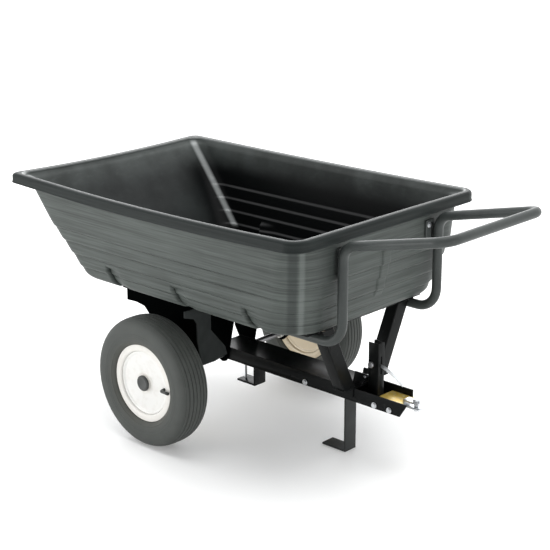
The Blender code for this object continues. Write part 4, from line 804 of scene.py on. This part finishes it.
fit(surface("striker_rod", bar((low + high) / 2, (0, 1, 0), 0.0040, (high.y - low.y) / 2, 0.0007, 32)),
    bright_zinc, "tipping_body", "bright_zinc", "striker_pin")


# The tub.
# One piece of dark grey moulded plastic, 4 mm thick: a turned-down rim whose skirt is painted darker as shade
# and whose top edge is painted lighter as a highlight, stepped walls with a brushed look outside, three
# recesses in each side wall, a sloped wall to pour over and a flat floor. The inside is painted darker as
# shade, and a painted highlight runs down each rear corner.

RIM_FRONT, RIM_REAR, RIM_HALF, RIM_TOP = 0.6350, -0.6010, 0.4100, 0.7650
SHELF, WALL = 0.0280, 0.0040
FLOOR_TOP = 0.4575
LEDGES, LEDGE_RISE = (0.617, 0.576, 0.535, 0.494), 0.008
EVEN_TOP, EVEN_FOOT = 0.637, 0.474
FOOT_RADIUS = 0.020
SLOPE_FOOT, SLOPE_FILLET = -0.350, 2.2
RIM_CORNERS = (0.055, 0.022)
WALL_CORNERS = ((0.072, 0.120), (0.050, 0.060))
BOW, DROOP, RIB = 0.014, 0.009, 0.004
RECESS_EDGES = (-0.213, 0.078, 0.369)
RECESS_TOP, RECESS_HEIGHT, RECESS_WIDTH, RECESS_DEPTH = 0.5215, 0.068, 0.062, 0.014


def tub_sides(z, ledge_step, draft):
    """The tub's inside at heights z, from the axle: front, rear, half width, two corner radii, evening.

    Each ledge steps the walls in over a rise of 8 mm. The draft takes the side walls in from the rim
    down and the end wall in from the top ledge down. A quarter circle of 20 mm leads into the floor.
    The corners' radii grow from rim to floor, and the evening is what turns the half width's steps
    into one even slope.
    """
    inset = np.full_like(z, SHELF + WALL)
    for ledge in LEDGES:
        inset = inset + ledge_step * smooth((ledge - z) / LEDGE_RISE + 0.5)
    evened = np.clip((EVEN_TOP - z) / (EVEN_TOP - EVEN_FOOT), 0.0, 1.0)
    evening = inset - (SHELF + WALL) - len(LEDGES) * ledge_step * evened
    lift = np.clip((z - FLOOR_TOP) / FOOT_RADIUS, 0.0, 1.0)
    fillet = FOOT_RADIUS * (1.0 - np.sqrt(np.clip(1.0 - (1.0 - lift) ** 2, 0.0, 1.0)))
    depth = (RIM_TOP - z) / (RIM_TOP - FLOOR_TOP)
    end_draft = draft * np.clip((LEDGES[0] - z) / (LEDGES[0] - FLOOR_TOP), 0.0, 1.0)
    slope_top = RIM_REAR + SHELF + WALL
    rear = slope_top + (SLOPE_FOOT - slope_top) * depth
    corners = [top + (foot - top) * depth - fillet for top, foot in WALL_CORNERS]
    return (RIM_FRONT - inset - end_draft - fillet, rear + SLOPE_FILLET * fillet,
            RIM_HALF - inset - draft * depth - fillet, *corners, evening)


turn = np.linspace(0.0, math.pi / 2, 8)
lip = [(0.0040, -0.0300), (0.0026, -0.0316), (0.0008, -0.0318), (0.0, -0.0303), (0.0002, -0.0285),
       (0.0014, -0.0262), (0.0016, -0.0220)]
lip += [(0.0126 - 0.0110 * math.cos(t), -0.0110 + 0.0110 * math.sin(t)) for t in turn]
lip += [(0.0165, 0.0), (0.0205, -0.0001)]
lip += [(0.0205 + 0.0085 * math.sin(t), -0.0086 + 0.0085 * math.cos(t)) for t in turn[1:]]
inset, drop = np.array(lip).T
rim_rows = np.stack([RIM_FRONT - inset, RIM_REAR + inset, RIM_HALF - inset, RIM_CORNERS[0] - inset,
                     RIM_CORNERS[1] + inset * 0.5, inset * 0.0], 1)
over_ledge = np.array([5.5, 4, 3, 2, 1, 0, -1, -2, -3, -4, -5.5]) / 1000
heights = [np.linspace(0.748, 0.630, 12)]
for ledge in LEDGES:
    heights += [ledge + over_ledge, np.linspace(ledge - 0.011, ledge - 0.031, 6)]
wall_z = np.concatenate(heights)
foot_z = FLOOR_TOP + FOOT_RADIUS * (1 - np.sin(np.linspace(0.0, math.pi / 2, 10)))
wall_z = np.concatenate([wall_z[wall_z > foot_z[0] + 0.001], foot_z])
level_z = np.concatenate([RIM_TOP + drop, wall_z])[:, None]

# Each recess has a steep rear edge that curves forward as it falls, by 0.9 x width x
# (1 - sqrt(1 - fall^2)), and a face that runs out forward: depth x (1 - share of the width).
near_edge = np.array([-60, -42, -27, -16, -9, -5, -2, 0, 1.5, 3, 5, 8, 12, 17, 23, 30, 38, 47, 57, 66]) / 1000
columns = np.append(near_edge, np.array([90, 118, 146, 174, 202]) / 1000)
side_x = np.concatenate([edge + columns for edge in RECESS_EDGES[:-1]] + [RECESS_EDGES[-1] + near_edge])[1:]
nearest = np.argmin(np.abs(side_x[:, None] - np.array(RECESS_EDGES) - 0.010), axis=1)
edge = np.array(RECESS_EDGES)[nearest]
offset = side_x - edge
fall = np.clip((RECESS_TOP - level_z) / RECESS_HEIGHT, 0.0, 0.93)
curve = RECESS_WIDTH * 0.9 * (1.0 - np.sqrt(1.0 - fall ** 2))
long_x = side_x + curve * np.interp(offset, [-0.060, 0.0, 0.070], [0.0, 1.0, 0.0])
along = np.clip((long_x - edge - curve) / RECESS_WIDTH, 0.0, 1.0)
push = RECESS_DEPTH * smooth((offset + 0.002) / 0.005) * (1.0 - along)
push = push * smooth(fall * 6.0) * smooth((0.4400 - long_x) / 0.012)


def corner_arc(x, y, radius, start, steps):
    """A quarter circle at each level: centre + radius x (cos a, sin a)."""
    angles = start + np.linspace(0.0, math.pi / 2, steps)
    return x + radius * np.cos(angles), y + radius * np.sin(angles)


def across_at(x, ys):
    """A straight run across the tub at each level."""
    return np.broadcast_to(x, (len(level_z), len(ys))), np.broadcast_to(ys, (len(level_z), len(ys)))


def tub_skin(ledge_step, draft):
    """The tub's inside, row by row from the skirt's foot over the rim and down to the floor's middle.

    The long edges bow out by 14 mm and droop by 9 mm as 1 - t^2 along them, and the rear edge droops
    the same way across. The rib on the end wall is a rise of 4 mm with soft edges. The side walls'
    ledges even out into one slope on their way round the rear corners.
    """
    levels = np.concatenate([rim_rows, np.stack(tub_sides(wall_z, ledge_step, draft), 1)])
    front, rear, half, front_corner, rear_corner, evening = (levels[:, i:i + 1] for i in range(6))
    quarter = math.pi / 2
    rib_edge = np.array([0.0125, 0.0145, 0.0160, 0.0175, 0.0195])
    front_ys = np.sort(np.concatenate([np.linspace(-0.205, 0.205, 30), -rib_edge, rib_edge]))
    ending = smooth(np.linspace(-0.15, 1.3, 14))
    parts = [(long_x, -(half - push)),
             corner_arc(front - front_corner, -half + front_corner, front_corner, -quarter, 18),
             across_at(front, front_ys),
             corner_arc(front - front_corner, half - front_corner, front_corner, 0.0, 18),
             (long_x[:, ::-1], (half - push)[:, ::-1]),
             corner_arc(rear + rear_corner, half + evening * ending - rear_corner, rear_corner, quarter, 14),
             across_at(rear, np.linspace(0.255, -0.255, 24)),
             corner_arc(rear + rear_corner, -half - evening * ending[::-1] + rear_corner, rear_corner,
                        2 * quarter, 14)]
    x = np.concatenate([part[0] for part in parts], 1)
    y = np.concatenate([part[1] for part in parts], 1)
    z = np.broadcast_to(level_z, x.shape)
    high = smooth((z - FLOOR_TOP) / (RIM_TOP - FLOOR_TOP))
    middle = (RIM_FRONT + RIM_REAR) / 2
    long_share = np.clip(1.0 - ((x - middle) / (RIM_FRONT - middle)) ** 2, 0.0, 1.0)
    cross_share = np.clip(1.0 - (y / RIM_HALF) ** 2, 0.0, 1.0) * smooth((-0.30 - x) / 0.2)
    rib = smooth((0.0185 - np.abs(y)) / 0.004) * smooth((0.672 - z) / 0.005) * smooth((z - 0.518) / 0.005)
    x = x + RIB * rib * (x > 0.5) + AXLE.x
    y = y + np.sign(y) * BOW * long_share * high * smooth(np.abs(y) / 0.2)
    z = z - DROOP * high * (long_share * smooth(np.abs(y) / 0.35) + cross_share)
    rows = np.stack([x, y, z], -1)
    foot = rows[-1]
    centre = np.array([(foot[:, 0].min() + foot[:, 0].max()) / 2, 0.0, FLOOR_TOP])
    floor_rows = [foot + (centre - foot) * share for share in (0.06, 0.3, 0.65, 1.0)]
    rows = np.concatenate([rows, np.stack(floor_rows)])
    return np.concatenate([rows, rows[:, :1]], 1)


def thickened(rows, sheet):
    """The rows moved outwards by a sheet: each point + sheet x the unit normal of the grid there."""
    around = np.concatenate([rows[:, -2:-1], rows, rows[:, 1:2]], 1)
    across = around[:, 2:] - around[:, :-2]
    down = np.gradient(rows, axis=0)
    normal = np.cross(down, across)
    size = np.linalg.norm(normal, axis=-1, keepdims=True)
    normal = np.where(size > 1e-9, normal / np.maximum(size, 1e-9), (0.0, 0.0, -1.0))
    return rows + sheet * normal


moulded = Finish("moulded_plastic", specular_ior_level=0.22)
mottle = moulded.noise(7.0, detail=5.0)
scuff = moulded.noise(30.0, (1.0, 1.0, 2.5), 6.0).rise(0.52, 0.75)
pores = moulded.noise(900.0, detail=1.0)
x, y, z = moulded.axes()
sideways = (y * y).root()
tone = (mottle * 0.9 + scuff * 0.08).rise(0.22, 0.72)
# Painted shade: the inside is darker than the outside and near black low on the side walls. It is painted
# lighter towards the rim, as lit.
painted_shade_tone = moulded.mix(tone, (0.009, 0.0108, 0.0106), (0.029, 0.0335, 0.033))
painted_shade_tone = moulded.mix(sideways.rise(0.24, 0.330) * z.rise(0.715, 0.655), painted_shade_tone, (0.0012, 0.0019, 0.0022))
painted_light_tone = moulded.mix(tone, (0.034, 0.039, 0.037), (0.098, 0.110, 0.105))
shade = moulded.mix(z.rise(0.650, 0.752), painted_shade_tone, painted_light_tone)
# A pale painted highlight follows the valley where the sloped wall meets a side wall.
down = (RIM_TOP - z) / (RIM_TOP - FLOOR_TOP)
lean = x + sideways - (AXLE.x + RIM_REAR + RIM_HALF - 0.016) - down * 0.237
valley_highlight = lean.rise(-0.024, -0.005) * lean.rise(0.022, 0.004) * z.rise(0.480, 0.500) * z.rise(0.757, 0.745)
valley_highlight = valley_highlight * x.rise(-0.20, -0.30)
moulded.set(base_color=moulded.mix(valley_highlight * (0.75 + scuff * 0.25), shade, (0.520, 0.545, 0.540)),
            roughness=0.36 + mottle * 0.10 + scuff * 0.08 - valley_highlight * 0.12)
moulded.relief(pores * 0.4 + mottle * 0.2, 0.00012)

# Painted shade: the lip's outer face is darker than the rest of the tub's outside.
shaded_skirt = Finish("rim_plastic", specular_ior_level=0.08)
grain = shaded_skirt.noise(1.0, (4.0, 4.0, 180.0), 2.0)
shaded_skirt.set(base_color=shaded_skirt.mix(grain, (0.008, 0.0100, 0.0098), (0.030, 0.0355, 0.0340)),
          roughness=0.34 + grain * 0.14)
shaded_skirt.relief(grain, 0.0002)

# Painted highlight: the rim's top edge is lighter than the rest of the tub.
rim_edge_highlight = Finish("rim_edge", specular_ior_level=0.35)
rub = rim_edge_highlight.noise(40.0, detail=3.0)
rim_edge_highlight.set(base_color=rim_edge_highlight.mix(rub, (0.060, 0.067, 0.065), (0.130, 0.140, 0.136)),
              roughness=0.28 + rub * 0.12)

brushed = Finish("brushed_plastic", specular_ior_level=0.25)
streak = brushed.noise(1.0, (5.0, 5.0, 260.0), 2.0)
wide_streak = brushed.noise(1.0, (2.2, 2.2, 75.0), 3.0, (4.0, 2.0, 0.0))
cloud = brushed.noise(6.0, detail=3.0)
tone = streak * 0.55 + wide_streak * 0.40 + cloud * 0.20
# A painted highlight runs down each front corner, with a band of painted shade on either side of it.
x, y, _ = brushed.axes()
bend = (AXLE.x + RIM_FRONT - RIM_HALF) - x + (y * y).root()
forward = x.rise(AXLE.x + 0.46, AXLE.x + 0.50)
wear_and_sheen = bend.rise(-0.042, -0.028) * bend.rise(-0.008, -0.020) * forward
painted_shade_bands = bend.rise(-0.012, 0.000) * bend.rise(0.040, 0.022)
painted_shade_bands = (painted_shade_bands + bend.rise(-0.045, -0.115) * bend.rise(-0.200, -0.140) * 0.7) * forward
shade = brushed.mix(tone.rise(0.30, 0.86), (0.026, 0.031, 0.028), (0.092, 0.106, 0.098))
shade = brushed.mix(wear_and_sheen * (0.25 + cloud * 0.35), shade, (0.180, 0.200, 0.190))
shade = brushed.mix(painted_shade_bands * (0.30 + cloud * 0.35), shade, (0.012, 0.015, 0.015))
brushed.set(base_color=shade, roughness=0.44 + streak * 0.16)
brushed.relief(streak * 0.5 + wide_streak * 0.5, 0.0006)

# The rows up to SKIRT_ROWS are the lip's outer face, and those up to HIGHLIGHT_ROWS the rim's top edge,
# painted lighter as a highlight.
SKIRT_ROWS, HIGHLIGHT_ROWS = 16, 21
MOULDED, BRUSHED, SKIRT, EDGE_HIGHLIGHT = range(4)

inside = tub_skin(ledge_step=0.0065, draft=0.016)
outside = thickened(tub_skin(ledge_step=0.0055, draft=0.020), WALL)
whole = np.concatenate([outside[::-1], inside])
tub_shell = surface("tub_shell", whole)
kept, number = np.unique(np.round(whole.reshape(-1, 3), 7) + 0.0, axis=0, return_inverse=True)
row_of = np.zeros(len(kept), int)
row_of[number.ravel()] = np.repeat(np.arange(len(whole)), whole.shape[1])
fit(tub_shell, moulded, "tipping_body", "tub_plastic", "tub", sharp=None)
for finish in (brushed, shaded_skirt, rim_edge_highlight):
    tub_shell.data.materials.append(finish.material)
for polygon in tub_shell.data.polygons:
    row = int(row_of[list(polygon.vertices)].min()) - len(outside)
    polygon.material_index = (BRUSHED if row < -1 else SKIRT if row < SKIRT_ROWS
                              else EDGE_HIGHLIGHT if row < HIGHLIGHT_ROWS else MOULDED)


# The tub's bolts.
# Four round-headed bolts hold the floor to the first and last cross bars, and four hexagon bolts hold
# the end wall to the plates behind the uprights.

places = [(x, y) for x in (CROSS_BARS[0], CROSS_BARS[-1]) for y in (-0.10, 0.10)]
for number, (x, y) in enumerate(places, start=1):
    bolt = fastener((AXLE.x + x, y, FLOOR_TOP), (0, 0, 1), FLOOR_TOP - CROSS_BAR_FOOT, dome=True)
    fit(surface(f"round_bolt_{number}", bolt), bright_zinc, "tipping_body", "bright_zinc",
        f"floor_bolt_{number}")
places = [(y, z) for z in (0.640, 0.694) for y in (-0.1905, 0.1905)]
for number, (y, z) in enumerate(places, start=1):
    bolt = fastener((AXLE.x + 0.6132, y, z), (1, 0, 0), 0.0102)
    fit(surface(f"end_bolt_{number}", bolt), bright_zinc, "tipping_body", "bright_zinc",
        f"clamp_bolt_{number}")
